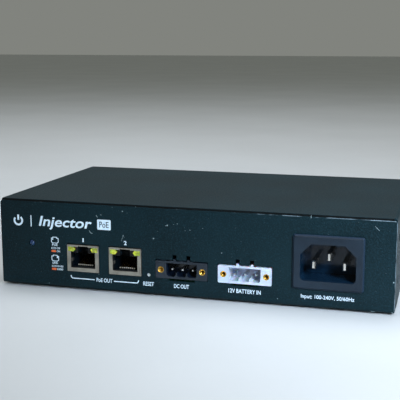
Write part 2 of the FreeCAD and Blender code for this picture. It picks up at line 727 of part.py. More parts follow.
def top_cover():
    """Folded steel cover: top and both sides, with vents, screw holes and rack-ear holes."""
    cover = body("cover")
    start = f"({FRONT} + steel + cover_gap)"
    low = f"{UNDER} + cover_lift"
    drawing = sketch(cover, "XZ_Plane", f"-{start}")
    inside, under = "(case_width / 2 - steel)", f"({TOP} - steel)"
    outline(drawing, [
        (LEFT, low), (LEFT, TOP), (RIGHT, TOP), (RIGHT, low),
        (inside, low), (inside, under), (f"-{inside}", under), (f"-{inside}", low),
    ])
    feature(cover, "Pad", drawing, f"{REAR} - {start}", back=True)
    dress(cover, "Fillet", "steel + bend_inside", along_y_at([(RIGHT, TOP), (LEFT, TOP)]))
    dress(cover, "Fillet", "bend_inside", along_y_at([(inside, under), (f"-{inside}", under)]))

    def front_edge(edge):
        spot = edge.BoundBox
        flat = near(spot.YMin, start) and near(spot.YMax, start)
        return flat and (near(spot.ZMax, TOP) or near(spot.XMax, RIGHT) or near(spot.XMin, LEFT))

    dress(cover, "Fillet", "panel_edge", front_edge)
    drawing = sketch(cover, "XY_Plane", under)
    reach = "(case_width / 2 - steel - bend_inside)"
    edge = f"{FRONT} + cover_set_back"
    rectangle(drawing, f"-{reach}", reach, edge, f"{start} + 2 * panel_edge")
    feature(cover, "Pad", drawing, "steel")
    dress(cover, "Fillet", "cover_edge", along_x_at([(edge, TOP)]))
    drawing = sketch(cover, "YZ_Plane")
    for z in EAR_Z:
        circle(drawing, (EAR_Y, z), "ear_clear_radius")
    for y in COVER_SCREW_Y:
        circle(drawing, (y, COVER_SCREW_Z), "screw_clear_radius")
    feature(cover, "Pocket", drawing, "case_width + steel", both=True)

    def screw_rim(edge):
        if edge.Curve.TypeId != "Part::GeomCircle" or not near(edge.Curve.Radius, "screw_clear_radius"):
            return False
        return near(abs(edge.Curve.Center.x), RIGHT)

    dress(cover, "Chamfer", "sink_depth", screw_rim)
    span = "(case_depth - side_vent_start - side_vent_end)"
    low_arc = "foot_height + vent_height - side_vent_height / 2"
    drawing = sketch(cover, "YZ_Plane")
    upright_slot(drawing, f"{FRONT} + side_vent_start", low_arc, f"{low_arc} + side_vent_height",
                 "vent_slot_width")
    vent = feature(cover, "Pocket", drawing, "case_width + steel", both=True)
    pattern(cover, vent, "Y_Axis", span, f"floor({span} / vent_pitch) + 1")
    keep(cover, "top_cover")


def cover_rail():
    """Angle spot-welded behind the panel, under the cover's front edge."""
    rail = body("rail")
    back = f"{FRONT} + steel"
    drawing = sketch(rail, "YZ_Plane")
    inner, foot, under = f"{back} + steel", f"{LIP} - rail_drop", f"{LIP} - steel"
    reach = f"{back} + rail_reach"
    outline(drawing, [(back, foot), (inner, foot), (inner, under), (reach, under), (reach, LIP), (back, LIP)])
    feature(rail, "Pad", drawing, f"2 * ({SIDE} - 3 * steel)", both=True)
    dress(rail, "Fillet", "bend_inside", along_x_at([(inner, under)]))
    keep(rail, "cover_rail")


def cover_screws():
    """Six countersunk M3 screws that hold the cover's sides to the base's flanges."""
    screws = []
    for side, turn in (("", "-x"), ("-", "x")):
        for y in COVER_SCREW_Y:
            name = "cover_screw_%d" % (len(screws) + 1)
            start = (f"{side}{RIGHT}", y, COVER_SCREW_Z)
            head = document.addObject("Part::Cone", name + "_head")
            head.setExpression("Radius1", bind("screw_clear_radius + sink_depth - slip"))
            head.setExpression("Radius2", bind("screw_clear_radius - slip"))
            head.setExpression("Height", bind("sink_depth"))
            place(head, start, turn)
            shank = cylinder(name + "_shank", start, "screw_shank_radius", "cover_screw_length", turn)
            socket = cylinder(name + "_socket", start, "key_radius", "key_depth", turn)
            screws.append(cut(name, fuse(name + "_bar", [head, shank]), [socket]))
    keep(group("cover_screw_set", screws), "cover_screws")


def rubber_feet():
    """Four thin round feet under the floor."""
    foot = document.addObject("Part::Cone", "foot")
    foot.setExpression("Radius1", bind("foot_radius - foot_height / 3"))
    foot.setExpression("Radius2", bind("foot_radius"))
    foot.setExpression("Height", bind("foot_height"))
    across = "(case_width / 2 - foot_inset)"
    corners = [(x, y, "0") for x in (across, f"-{across}")
               for y in (f"{FRONT} + foot_inset", f"{REAR} - foot_inset")]
    keep(copies("foot_set", foot, corners), "rubber_feet")


def board_corners(height):
    """The four places where the board is screwed down."""
    return [(x, y, height) for x in (BOARD_SCREW_X, f"-{BOARD_SCREW_X}")
            for y in (BOARD_SCREW_FRONT, BOARD_SCREW_REAR)]


def insulation_sheet():
    """Polyester film on the floor, with holes for the standoffs and the keyholes."""
    film = box("film_blank", (f"-{BOARD_SIDE}", f"{FRONT} + 3 * steel", FLOOR),
               (f"2 * {BOARD_SIDE}", "case_depth - 6 * steel", "sheet_thickness"))
    holes = []
    for index, corner in enumerate(board_corners(FLOOR)):
        holes.append(cylinder("film_hole_%d" % index, corner, "standoff_radius + 0.5", "sheet_thickness"))
    for index, side in enumerate(("-", "")):
        middle = (f"{side}keyhole_spacing / 2", "0", FLOOR)
        size = ("2 * keyhole_radius + 2", "keyhole_length + 2 * keyhole_radius + 2", "sheet_thickness")
        holes.append(middle_box("film_window_%d" % index, middle, size))
    keep(cut("film", film, holes), "insulation_sheet")


def board_standoffs():
    """Four threaded standoffs pressed into the floor."""
    post = cylinder("standoff_post", ("0", "0", "0"), "standoff_radius", "standoff_height")
    bore = cylinder("standoff_bore", ("0", "0", "0"), "screw_thread_radius", "standoff_height")
    keep(copies("standoff_set", cut("standoff", post, [bore]), board_corners(FLOOR)), "board_standoffs")


def board_screws():
    """Four pan-head screws that hold the board on its standoffs."""
    head = cylinder("board_screw_head", ("0", "0", "0"), "screw_head_radius", "screw_head_height")
    shank = cylinder("board_screw_shank", ("0", "0", "-board_thickness - standoff_height / 2"),
                     "screw_shank_radius", "board_thickness + standoff_height / 2")
    keep(copies("board_screw_set", fuse("board_screw", [head, shank]), board_corners(BOARD)), "board_screws")


def main_board():
    """Printed circuit board with its screw holes and the notch for the reset switch."""
    board = body("board")
    drawing = sketch(board, "XY_Plane", BOARD_UNDER)
    front = f"{FRONT} + board_front"
    deep = f"{FRONT} + switch_front + switch_depth + slip"
    half = "(switch_width / 2 + slip)"
    outline(drawing, [
        (f"-{BOARD_SIDE}", front), (f"{RESET_X} - {half}", front), (f"{RESET_X} - {half}", deep),
        (f"{RESET_X} + {half}", deep), (f"{RESET_X} + {half}", front), (BOARD_SIDE, front),
        (BOARD_SIDE, f"{REAR} - board_rear"), (f"-{BOARD_SIDE}", f"{REAR} - board_rear"),
    ])
    feature(board, "Pad", drawing, "board_thickness")
    drawing = sketch(board, "XY_Plane", BOARD)
    for x, y, z in board_corners(BOARD):
        circle(drawing, (x, y), "screw_clear_radius")
    feature(board, "Pocket", drawing, "board_thickness")
    keep(board, "main_board")


# Network jacks, each in its own frame: middle of the jack, panel face, board

def jack_shield(name, corner):
    """Nickel-plated can with the plug's mouth, latch notch and lens windows."""
    shield = body(name, corner)
    face = "-jack_proud"
    half = "(jack_width / 2)"
    drawing = sketch(shield, "XZ_Plane", f"-({face})")
    rectangle(drawing, f"-{half}", half, "0", "jack_height")
    feature(shield, "Pad", drawing, f"jack_depth + jack_proud", back=True)
    rims = [(half, "jack_height"), (f"-{half}", "jack_height"), (half, "0"), (f"-{half}", "0")]
    dress(shield, "Fillet", "shield_wall", along_y_at(rims))
    drawing = sketch(shield, "XZ_Plane", "-jack_depth")
    rectangle(drawing, f"-({half} - shield_wall)", f"{half} - shield_wall", "shield_wall",
              "jack_height - shield_wall")
    feature(shield, "Pocket", drawing, "jack_depth + jack_proud - shield_wall", back=True)
    drawing = sketch(shield, "XZ_Plane", f"-({face})")
    across = "mouth_width / 2"
    latch = "latch_width / 2"
    outline(drawing, [
        (f"-{across}", "mouth_low"), (across, "mouth_low"), (across, "lens_low"), ("lens_outer", "lens_low"),
        ("lens_outer", "lens_high"), (latch, "lens_high"), (latch, "latch_high"), (f"-{latch}", "latch_high"),
        (f"-{latch}", "lens_high"), ("-lens_outer", "lens_high"), ("-lens_outer", "lens_low"),
        (f"-{across}", "lens_low"),
    ])
    feature(shield, "Pocket", drawing, "shield_wall")
    drawing = sketch(shield, "XY_Plane", "shield_wall")
    tails = "(4 * contact_pitch + contact_width)"
    rectangle(drawing, f"-{tails}", tails, "contact_tail - 1", "jack_depth + 1")
    feature(shield, "Pocket", drawing, "2 * shield_wall")
    keep(shield, name)


def jack_housing(name, corner):
    """Black plastic body inside the shield, with plug cavity, latch channel and lens pockets."""
    housing = body(name, corner)
    face = "(shield_wall + shell_gap - jack_proud)"
    half = "(jack_width / 2 - shield_wall - shell_gap)"
    drawing = sketch(housing, "XZ_Plane", f"-{face}")
    rectangle(drawing, f"-{half}", half, "shield_wall + shell_gap", "jack_height - shield_wall - shell_gap")
    feature(housing, "Pad", drawing, f"jack_depth - {face}", back=True)
    drawing = sketch(housing, "XZ_Plane", f"-{face}")
    plug = "plug_width / 2"
    latch = "latch_width / 2"
    outline(drawing, [
        (f"-{plug}", "plug_low"), (plug, "plug_low"), (plug, "plug_high"), (latch, "plug_high"),
        (latch, "latch_high"), (f"-{latch}", "latch_high"), (f"-{latch}", "plug_high"),
        (f"-{plug}", "plug_high"),
    ])
    feature(housing, "Pocket", drawing, f"plug_depth - {face}")
    drawing = sketch(housing, "XZ_Plane", f"-{face}")
    inner, low, high = "(lens_inner - shell_gap)", "lens_low - shell_gap", "lens_high + shell_gap"
    rectangle(drawing, inner, "jack_width", low, high)
    rectangle(drawing, "-jack_width", f"-{inner}", low, high)
    feature(housing, "Pocket", drawing, "lens_depth + shell_gap")
    comb = "(3.5 * contact_pitch + contact_width)"
    roof = "contact_height + 2 * contact_gauge"
    drawing = sketch(housing, "XZ_Plane", "-jack_depth")
    rectangle(drawing, f"-{comb}", comb, "contact_height - contact_gauge", roof)
    feature(housing, "Pocket", drawing, "jack_depth - plug_depth + 1", back=True)
    drawing = sketch(housing, "XZ_Plane", "-jack_depth")
    rectangle(drawing, f"-{comb}", comb, "0", roof)
    feature(housing, "Pocket", drawing, "jack_depth - contact_tail + 0.5", back=True)
    keep(housing, name)


def jack_contacts(name, corner):
    """Eight gilt contact springs that slope up from the cavity's floor."""
    contacts = body(name, corner)
    drawing = sketch(contacts, "YZ_Plane", "-3.5 * contact_pitch")
    tip = "plug_low + contact_gauge / 2"
    top = "contact_height + contact_gauge"
    outline(drawing, [
        ("contact_start", tip), ("contact_bend", "contact_height"), ("contact_tail", "contact_height"),
        ("contact_tail", "0"), ("contact_tail + contact_gauge", "0"), ("contact_tail + contact_gauge", top),
        ("contact_bend - contact_gauge / 3", top),
        ("contact_start - contact_gauge / 3", f"{tip} + contact_gauge"),
    ])
    spring = feature(contacts, "Pad", drawing, "contact_width", both=True)
    pattern(contacts, spring, "X_Axis", "7 * contact_pitch", "8")
    keep(contacts, name)


def jack_lenses(name, corner):
    """Two clear lenses beside the latch notch, each with a pointed inner end."""
    lenses = body(name, corner)
    drawing = sketch(lenses, "XZ_Plane", "-(shell_gap - jack_proud)")
    middle = "(lens_low + lens_high) / 2"
    for side in ("", "-"):
        outline(drawing, [
            (f"{side}(lens_inner + lens_point)", "lens_low"), (f"{side}lens_outer", "lens_low"),
            (f"{side}lens_outer", "lens_high"), (f"{side}(lens_inner + lens_point)", "lens_high"),
            (f"{side}lens_inner", middle),
        ])
    feature(lenses, "Pad", drawing, "lens_depth", back=True)
    keep(lenses, name)


def network_jacks():
    """Two side-by-side jacks on the board's front edge."""
    for index, x in enumerate(JACK_X, start=1):
        corner = (x, FRONT, BOARD)
        jack_shield("jack_%d_shield" % index, corner)
        jack_housing("jack_%d_housing" % index, corner)
        jack_contacts("jack_%d_contacts" % index, corner)
        jack_lenses("jack_%d_led_lenses" % index, corner)


# Power headers, each in its own frame: middle of the header, panel face, board

def header_housing(name, corner, coded):
    """Flanged three-pole header with a shrouded cavity, screw-insert holes and key ribs."""
    housing = body(name, corner)
    drawing = sketch(housing, "XZ_Plane", "header_proud")
    rectangle(drawing, "-flange_width / 2", "flange_width / 2", "0", "header_height")
    feature(housing, "Pad", drawing, "flange_depth + header_proud", back=True)
    rims = [(f"{side}flange_width / 2", z) for side in ("", "-") for z in ("0", "header_height")]
    dress(housing, "Fillet", "cell_round / 2", along_y_at(rims))
    drawing = sketch(housing, "XZ_Plane", "header_proud")
    rectangle(drawing, "-shell_width / 2", "shell_width / 2", "0", "header_height")
    feature(housing, "Pad", drawing, "header_depth + header_proud", back=True)
    drawing = sketch(housing, "XZ_Plane", "header_proud")
    rectangle(drawing, "-cavity_width / 2", "cavity_width / 2", "cavity_low", "cavity_high")
    feature(housing, "Pocket", drawing, "cavity_depth + header_proud")
    drawing = sketch(housing, "XZ_Plane", "header_proud")
    sides = []
    for pole in (-1, 0, 1):
        middle = f"{pole} * pole_pitch"
        sides += [f"{middle} - cell_width / 2", f"{middle} + cell_width / 2"]
        rectangle(drawing, sides[-2], sides[-1], "cell_low", "cavity_low + cell_low")
    feature(housing, "Pocket", drawing, "cavity_depth + header_proud")
    dress(housing, "Fillet", "cell_round", along_y_at([(side, "cell_low") for side in sides]))
    drawing = sketch(housing, "XZ_Plane", "header_proud")
    for side in ("-", ""):
        circle(drawing, (f"{side}insert_spacing / 2", "pin_axis"), "insert_outer")
    feature(housing, "Pocket", drawing, "flange_depth + header_proud")
    drawing = sketch(housing, "XZ_Plane", "-header_depth")
    rectangle(drawing, "-cavity_width / 2", "cavity_width / 2", "-1", "pin_axis + pin_side / 2 + 0.3")
    feature(housing, "Pocket", drawing, "header_depth - pin_back", back=True)
    drawing = sketch(housing, "XZ_Plane", "-header_depth")
    for pole in (-1, 0, 1):
        middle = f"{pole} * pole_pitch"
        rectangle(drawing, f"{middle} - pin_side / 2", f"{middle} + pin_side / 2",
                  "pin_axis - pin_side / 2", "pin_axis + pin_side / 2")
    feature(housing, "Pocket", drawing, "header_depth - cavity_depth + 1", back=True)
    header_ribs(housing, coded)
    keep(housing, name)


def header_ribs(housing, coded):
    """Key ribs on the header's top, and three low coding ribs on the output header."""
    drawing = sketch(housing, "XY_Plane", "header_height - cell_low / 2")
    for side in ("-", "+"):
        middle = f"({side}key_rib_offset)"
        rectangle(drawing, f"{middle} - key_rib_width / 2", f"{middle} + key_rib_width / 2",
                  "0", "key_rib_length")
    feature(housing, "Pad", drawing, "key_rib_height + cell_low / 2")
    if coded:
        drawing = sketch(housing, "XY_Plane", "header_height - cell_low / 2")
        for pole in (-1, 0, 1):
            middle = f"{pole} * pole_pitch"
            rectangle(drawing, f"{middle} - code_rib_width / 2", f"{middle} + code_rib_width / 2",
                      "-header_proud", "key_rib_length")
        feature(housing, "Pad", drawing, "code_rib_height + cell_low / 2")


def header_pins(name, corner):
    """Three bent square pins."""
    pins = body(name, corner)
    low = "pin_axis - pin_side / 2"
    high = "pin_axis + pin_side / 2"
    drawing = sketch(pins, "YZ_Plane", "-pole_pitch")
    outline(drawing, [
        ("pin_start", low), ("pin_leg - pin_side / 2", low), ("pin_leg - pin_side / 2", "0"),
        ("pin_leg + pin_side / 2", "0"), ("pin_leg + pin_side / 2", high), ("pin_start", high),
    ])
    pin = feature(pins, "Pad", drawing, "pin_side", both=True)
    pattern(pins, pin, "X_Axis", "2 * pole_pitch", "3")

    def tip(edge):
        return near(edge.BoundBox.YMax, "pin_start") and near(edge.BoundBox.YMin, "pin_start")

    dress(pins, "Chamfer", "pin_side / 5", tip)
    keep(pins, name)


def header_inserts(name, corner):
    """Two threaded brass inserts in the flange."""
    post = cylinder(name + "_post", ("0", "0", "0"), "insert_outer", "insert_length", "y")
    bore = cylinder(name + "_bore", ("0", "0", "0"), "insert_bore", "insert_length", "y")
    rim = document.addObject("Part::Cone", name + "_rim")
    rim.setExpression("Radius1", bind("insert_bore * 1.25"))
    rim.setExpression("Radius2", bind("insert_bore"))
    rim.setExpression("Height", bind("insert_bore / 4"))
    place(rim, ("0", "0", "0"), "y")
    insert = cut(name + "_one", post, [bore, rim])
    y = f"{corner[1]} - header_proud + insert_recess"
    places = [(f"{corner[0]} {side} insert_spacing / 2", y, f"{corner[2]} + pin_axis") for side in "-+"]
    keep(copies(name + "_set", insert, places), name)


def power_headers():
    """The output header and the battery header, one pitch apart."""
    for name, x in zip(("dc_out", "battery"), HEADER_X):
        corner = (x, FRONT, BOARD)
        header_housing(name + "_housing", corner, name == "dc_out")
        header_pins(name + "_pins", corner)
        header_inserts(name + "_inserts", corner)


# Mains inlet, in its own frame: middle of the inlet, panel face

def ac_inlet_housing():
    """Snap-in inlet housing with a bevelled flange and a deep shaped recess."""
    housing = body("inlet", (INLET_X, FRONT, INLET_Z))
    wide, tall = "inlet_width / 2", "inlet_height / 2"
    drawing = sketch(housing, "XZ_Plane")
    rectangle(drawing, f"-{wide}", wide, f"-{tall}", tall)
    feature(housing, "Pad", drawing, "inlet_proud")
    corners = [(x, z) for x in (wide, f"-{wide}") for z in (tall, f"-{tall}")]
    dress(housing, "Fillet", "inlet_corner", along_y_at(corners))

    def rim(edge):
        return near(edge.BoundBox.YMax, "-inlet_proud")

    dress(housing, "Chamfer", "inlet_bevel", rim)
    drawing = sketch(housing, "XZ_Plane")
    across, high = "inlet_body_width / 2", "inlet_body_height / 2"
    rectangle(drawing, f"-{across}", across, f"-{high}", high)
    feature(housing, "Pad", drawing, "inlet_body_depth", back=True)
    drawing = sketch(housing, "XY_Plane")
    for side in ("", "-"):
        outline(drawing, [
            (f"{side}{across}", "steel + slip"), (f"{side}({across} + latch_reach)", "steel + slip"),
            (f"{side}{across}", "steel + slip + latch_length"),
        ])
    feature(housing, "Pad", drawing, "latch_span", both=True)
    drawing = sketch(housing, "XZ_Plane", "inlet_proud")
    side, top = "recess_width / 2", "recess_height / 2"
    outline(drawing, [
        (f"-{side}", f"-{top}"), (side, f"-{top}"), (side, f"{top} - recess_slant"),
        (f"{side} - recess_slant", top), (f"-({side} - recess_slant)", top),
        (f"-{side}", f"{top} - recess_slant"),
    ])
    feature(housing, "Pocket", drawing, "recess_depth + inlet_proud")
    dress(housing, "Fillet", "recess_round", along_y_at([(side, f"-{top}"), (f"-{side}", f"-{top}")]))
    drawing = sketch(housing, "XZ_Plane", "-inlet_body_depth")
    for x, z in blade_places():
        rectangle(drawing, f"{x} - blade_width / 2", f"{x} + blade_width / 2", f"{z} - blade_height / 2",
                  f"{z} + blade_height / 2")
    feature(housing, "Pocket", drawing, "inlet_body_depth - recess_depth + 1", back=True)
    keep(housing, "ac_inlet_housing")


def blade_places():
    """Middle of each blade from the inlet's middle: live, neutral and earth."""
    return [("blade_spread", "-blade_step"), ("-blade_spread", "-blade_step"), ("0", "blade_step")]


def behind_inlet(name, blade, start, end, size):
    """A block on a blade's axis, between two distances behind the panel face."""
    x, z = blade
    middle = (f"{INLET_X} + {x}", f"{FRONT} + ({start} + {end}) / 2", f"{INLET_Z} + {z} - ({size[1]}) / 2")
    return middle_box(name, middle, (size[0], f"{end} - ({start})", size[1]))


def ac_inlet_pins():
    """Three flat blades, each with a terminal tab behind the housing."""
    blades = []
    for index, blade in enumerate(blade_places(), start=1):
        name = "blade_%d" % index
        flat = behind_inlet(name + "_flat", blade, "blade_start", "inlet_body_depth",
                            ("blade_width", "blade_height"))
        document.recompute()
        tips = [order for order, edge in enumerate(flat.Shape.Edges, start=1)
                if near(edge.BoundBox.YMax, f"{FRONT} + blade_start")]
        bevelled = document.addObject("Part::Chamfer", name + "_tip")
        bevelled.Base = flat
        bevelled.Edges = [(order, number("blade_bevel"), number("blade_bevel")) for order in tips]
        tab = behind_inlet(name + "_tab", blade, "inlet_body_depth", "tab_end", ("tab_width", "tab_height"))
        blades.append(fuse(name, [bevelled, tab]))
    keep(group("blade_set", blades), "ac_inlet_pins")


def terminal_sleeves():
    """Three nylon-covered push-on terminals on the inlet's tabs."""
    sleeves = []
    for index, blade in enumerate(blade_places(), start=1):
        name = "sleeve_%d" % index
        cover = behind_inlet(name + "_cover", blade, "sleeve_start", "sleeve_end",
                             ("sleeve_width", "sleeve_height"))
        slit = behind_inlet(name + "_slit", blade, "sleeve_start", "tab_end + slip",
                            ("tab_width + 2 * slip", "tab_height + 2 * slip"))
        sleeves.append(cut(name, cover, [slit]))
    keep(group("sleeve_set", sleeves), "terminal_sleeves")


def elbow(name, centre, turn, start_angle):
    """A quarter bend of wire about the given centre."""
    item = document.addObject("Part::Torus", name)
    item.setExpression("Radius1", bind("wire_bend"))
    item.setExpression("Radius2", bind("wire_radius"))
    item.Angle3 = 90
    place(item, centre)
    spin = FreeCAD.Rotation(FreeCAD.Vector(0, 0, 1), start_angle)
    item.Placement = FreeCAD.Placement(item.Placement.Base, turn.multiply(spin))
    return item


def board_wires():
    """Live and neutral wires: straight back from the sleeve, one bend, down to the board."""
    upright = FreeCAD.Rotation(FreeCAD.Vector(0, 1, 0), 90)
    for label, (x, z) in zip(("live_wire", "neutral_wire"), blade_places()):
        across = f"({INLET_X} + {x})"
        start = f"({FRONT} + sleeve_end)"
        level = f"({INLET_Z} + {z})"
        lead = cylinder(label + "_lead", (across, start, level), "wire_radius", "wire_lead", "y")
        bend = elbow(label + "_bend", (across, f"{start} + wire_lead", f"{level} - wire_bend"), upright, 90)
        drop = cylinder(label + "_drop", (across, f"{start} + wire_lead + wire_bend", BOARD), "wire_radius",
                        f"{level} - wire_bend - {BOARD}")
        keep(fuse(label + "_run", [lead, bend, drop]), label)


def earth_wire():
    """Earth wire: back from the sleeve, sideways to the case's side and back to its lug."""
    flat = FreeCAD.Rotation()
    start = f"({FRONT} + sleeve_end)"
    first = f"({start} + wire_lead)"
    second = f"({first} + 2 * wire_bend)"
    end = f"({REAR} - steel - lug_gauge - lug_barrel)"
    lead = cylinder("earth_lead", (INLET_X, start, EARTH_Z), "wire_radius", "wire_lead", "y")
    turn_out = elbow("earth_turn_out", (f"{INLET_X} + wire_bend", first, EARTH_Z), flat, 90)
    cross = cylinder("earth_cross", (f"{INLET_X} + wire_bend", f"{first} + wire_bend", EARTH_Z),
                     "wire_radius", f"{EARTH_X} - {INLET_X} - 2 * wire_bend", "x")
    turn_back = elbow("earth_turn_back", (f"{EARTH_X} - wire_bend", second, EARTH_Z), flat, 270)
    run = cylinder("earth_run", (EARTH_X, second, EARTH_Z), "wire_radius", f"{end} - {second}", "y")
    keep(fuse("earth_path", [lead, turn_out, cross, turn_back, run]), "earth_wire")


def earth_lug():
    """Ring lug against the rear panel's inside, with its barrel along the wire."""
    contact = f"({REAR} - steel - lug_gauge)"
    plate = box("lug_plate", (f"{EARTH_X} - lug_width / 2", contact, f"{EARTH_Z} - lug_width / 2"),
                ("lug_width", "lug_gauge", "earth_rise + lug_width"))
    barrel = cylinder("lug_tube", (EARTH_X, contact, EARTH_Z), "lug_barrel_radius", "lug_barrel", "-y")
    hole = cylinder("lug_hole", (EARTH_X, contact, EARTH_SCREW_Z), "earth_shank_radius + slip",
                    "lug_gauge", "y")
    keep(cut("lug", fuse("lug_blank", [plate, barrel]), [hole]), "earth_lug")


def earth_screw():
    """Cross-slotted M4 screw through the rear panel and the lug."""
    start = (EARTH_X, REAR, EARTH_SCREW_Z)
    head = cylinder("earth_head", start, "earth_head_radius", "rear_proud", "y")
    shank = cylinder("earth_shank", start, "earth_shank_radius", "earth_shank_length", "-y")
    document.recompute()
    crowned = document.addObject("Part::Fillet", "earth_head_round")
    crowned.Base = head
    crowned.Edges = [(order, number("earth_crown"), number("earth_crown"))
                     for order, edge in enumerate(head.Shape.Edges, start=1)
                     if near(edge.BoundBox.YMin, f"{REAR} + rear_proud")]
    slots = []
    for name, wide, tall in (("slot_flat", "cross_length", "cross_width"),
                             ("slot_up", "cross_width", "cross_length")):
        middle = (EARTH_X, f"{REAR} + rear_proud - cross_depth / 2", f"{EARTH_SCREW_Z} - {tall} / 2")
        slots.append(middle_box(name, middle, (wide, "cross_depth", tall)))
    keep(cut("earth_screw_solid", fuse("earth_bar", [crowned, shank]), slots), "earth_screw")


def earth_nut():
    """Hexagon nut behind the lug."""
    start = (EARTH_X, f"{REAR} - steel - lug_gauge", EARTH_SCREW_Z)
    nut = document.addObject("Part::Prism", "nut_blank")
    nut.Polygon = 6
    nut.setExpression("Circumradius", bind("nut_radius"))
    nut.setExpression("Height", bind("nut_height"))
    place(nut, start, "-y")
    bore = cylinder("nut_bore", start, "earth_shank_radius + thread_gap", "nut_height", "-y")
    keep(cut("nut", nut, [bore]), "earth_nut")


# Status light and reset button

def status_light():
    """Round-ended light, its holder on the board and its two legs."""
    start = f"({FRONT} - light_proud + light_radius)"
    rod = cylinder("light_rod", (LIGHT_X, start, LIGHT_Z), "light_radius",
                   "light_length + light_proud - light_radius", "y")
    dome = document.addObject("Part::Sphere", "light_dome")
    dome.setExpression("Radius", bind("light_radius"))
    place(dome, (LIGHT_X, start, LIGHT_Z))
    keep(fuse("light", [rod, dome]), "status_led")
    near_face = f"({FRONT} + holder_start)"
    post = box("holder_post", (f"{LIGHT_X} - holder_width / 2", near_face, BOARD),
               ("holder_width", "holder_depth", "light_rise + holder_width / 2"))
    bore = cylinder("holder_bore", (LIGHT_X, near_face, LIGHT_Z), "light_radius + light_gap",
                    "holder_depth", "y")
    keep(cut("holder", post, [bore]), "status_led_holder")
    legs = []
    behind = f"({FRONT} + light_length)"
    reach = "(holder_start + holder_depth - light_length + leg_gap)"
    for side in ("-", "+"):
        across = f"{LIGHT_X} {side} leg_spread"
        name = "leg_left" if side == "-" else "leg_right"
        level = box(name + "_level", (f"{across} - leg_side / 2", behind, f"{LIGHT_Z} - leg_side / 2"),
                    ("leg_side", reach, "leg_side"))
        drop = middle_box(name + "_drop", (across, f"{behind} + {reach}", BOARD),
                          ("leg_side", "leg_side", "light_rise + leg_side / 2"))
        legs.append(fuse(name, [level, drop]))
    keep(group("leg_pair", legs), "status_led_legs")


def reset_button():
    """Side-pushed switch in the board's notch, and the plunger behind the panel's hole."""
    face = f"({FRONT} + switch_front)"
    inner = f"({face} + switch_plate)"
    well_radius = "collar_radius + plunger_gap"
    low = f"({RESET_Z} - switch_height / 2)"
    block = box("switch_block", (f"{RESET_X} - switch_width / 2", inner, low),
                ("switch_width", "switch_depth - switch_plate", "switch_height"))
    well = cylinder("switch_well", (RESET_X, inner, RESET_Z), well_radius,
                    "collar_length + travel + 4 * plunger_gap", "y")
    keep(cut("switch", block, [well]), "reset_switch_body")
    plate = box("plate_blank", (f"{RESET_X} - switch_width / 2", face, low),
                ("switch_width", "switch_plate", "switch_height"))
    hole = cylinder("plate_hole", (RESET_X, face, RESET_Z), "plunger_radius + plunger_gap",
                    "switch_plate", "y")
    keep(cut("plate", plate, [hole]), "reset_switch_frame")
    collar_start = f"({inner} + plunger_gap)"
    tip = f"({FRONT} + plunger_recess)"
    rod = cylinder("plunger_rod", (RESET_X, tip, RESET_Z), "plunger_radius",
                   f"{collar_start} + collar_length - {tip}", "y")
    collar = cylinder("plunger_collar", (RESET_X, collar_start, RESET_Z), "collar_radius",
                      "collar_length", "y")
    keep(fuse("plunger", [rod, collar]), "reset_plunger")


# Parts on the board

def spot(name, rise="0"):
    """A part's place on the board, from the case's right side and rear face."""
    return (f"({RIGHT} - {name}_right)", f"({REAR} - {name}_rear)", f"({BOARD} + {rise})")


def block(name):
    """A plain block on the board, of the sizes that bear its name."""
    return middle_box(name + "_block", spot(name), (name + "_wide", name + "_deep", name + "_tall"))


def mains_fuse():
    """Glass fuse along Y in two clips."""
    x, y, z = spot("mains_fuse", "fuse_rise")
    tube = cylinder("fuse_tube", (x, f"{y} - fuse_length / 2", z), "fuse_radius", "fuse_length", "y")
    keep(tube, "mains_fuse")
    clips = []
    for name, side in (("clip_front", "-"), ("clip_rear", "+")):
        middle = f"({y} {side} (fuse_length / 2 - clip_length))"
        jaw = middle_box(name + "_jaw", (x, middle, BOARD),
                         ("2 * fuse_radius + 2 * clip_gauge", "clip_length", "fuse_rise + fuse_radius / 2"))
        bore = cylinder(name + "_bore", (x, f"{middle} - clip_length", z), "fuse_radius",
                        "2 * clip_length", "y")
        clips.append(cut(name, jaw, [bore]))
    keep(group("clip_pair", clips), "fuse_clips")


def toroid(core_label, winding_label, name, coils, coil_angle):
    """Ring core lying flat, with wire layers round parts of it."""
    x, y, z = spot(name, "ring_rise")

    def ring(label, outer, inner, low, height):
        disc = cylinder(label + "_disc", (x, y, low), outer, height)
        return disc, cut(label, disc, [cylinder(label + "_eye", (x, y, low), inner, height)])

    keep(ring(core_label + "_ring", "ring_outer", "ring_inner", z, "ring_height")[1], core_label)
    layers = []
    for index in range(coils):
        label = "%s_%d" % (winding_label, index + 1)
        disc, layer = ring(label + "_layer", "ring_outer + winding_wrap", "ring_inner - winding_wrap",
                           f"{z} - winding_wrap", "ring_height + 2 * winding_wrap")
        disc.Angle = coil_angle
        disc.Placement = FreeCAD.Placement(disc.Placement.Base,
                                           FreeCAD.Rotation(FreeCAD.Vector(0, 0, 1), index * 360 / coils))
        space = ring(label + "_space", "ring_outer", "ring_inner", z, "ring_height")[1]
        layers.append(cut(label, layer, [space]))
    keep(group(winding_label + "_set", layers), winding_label)


def mains_filter():
    """Mains choke, film capacitor, two disc capacitors and the bridge rectifier."""
    toroid("emi_choke_core", "emi_choke_windings", "choke", 2, 120)
    keep(block("x_capacitor"), "x_capacitor")
    discs = []
    for side in "-+":
        x, y, z = spot("y_capacitors", "disc_rise")
        start = (f"{x} {side} disc_spread / 2", y, z)
        discs.append(cylinder("disc", start, "disc_radius", "disc_gauge", "y"))
    keep(group("disc_pair", discs), "y_capacitors")
    keep(block("bridge_rectifier"), "bridge_rectifier")


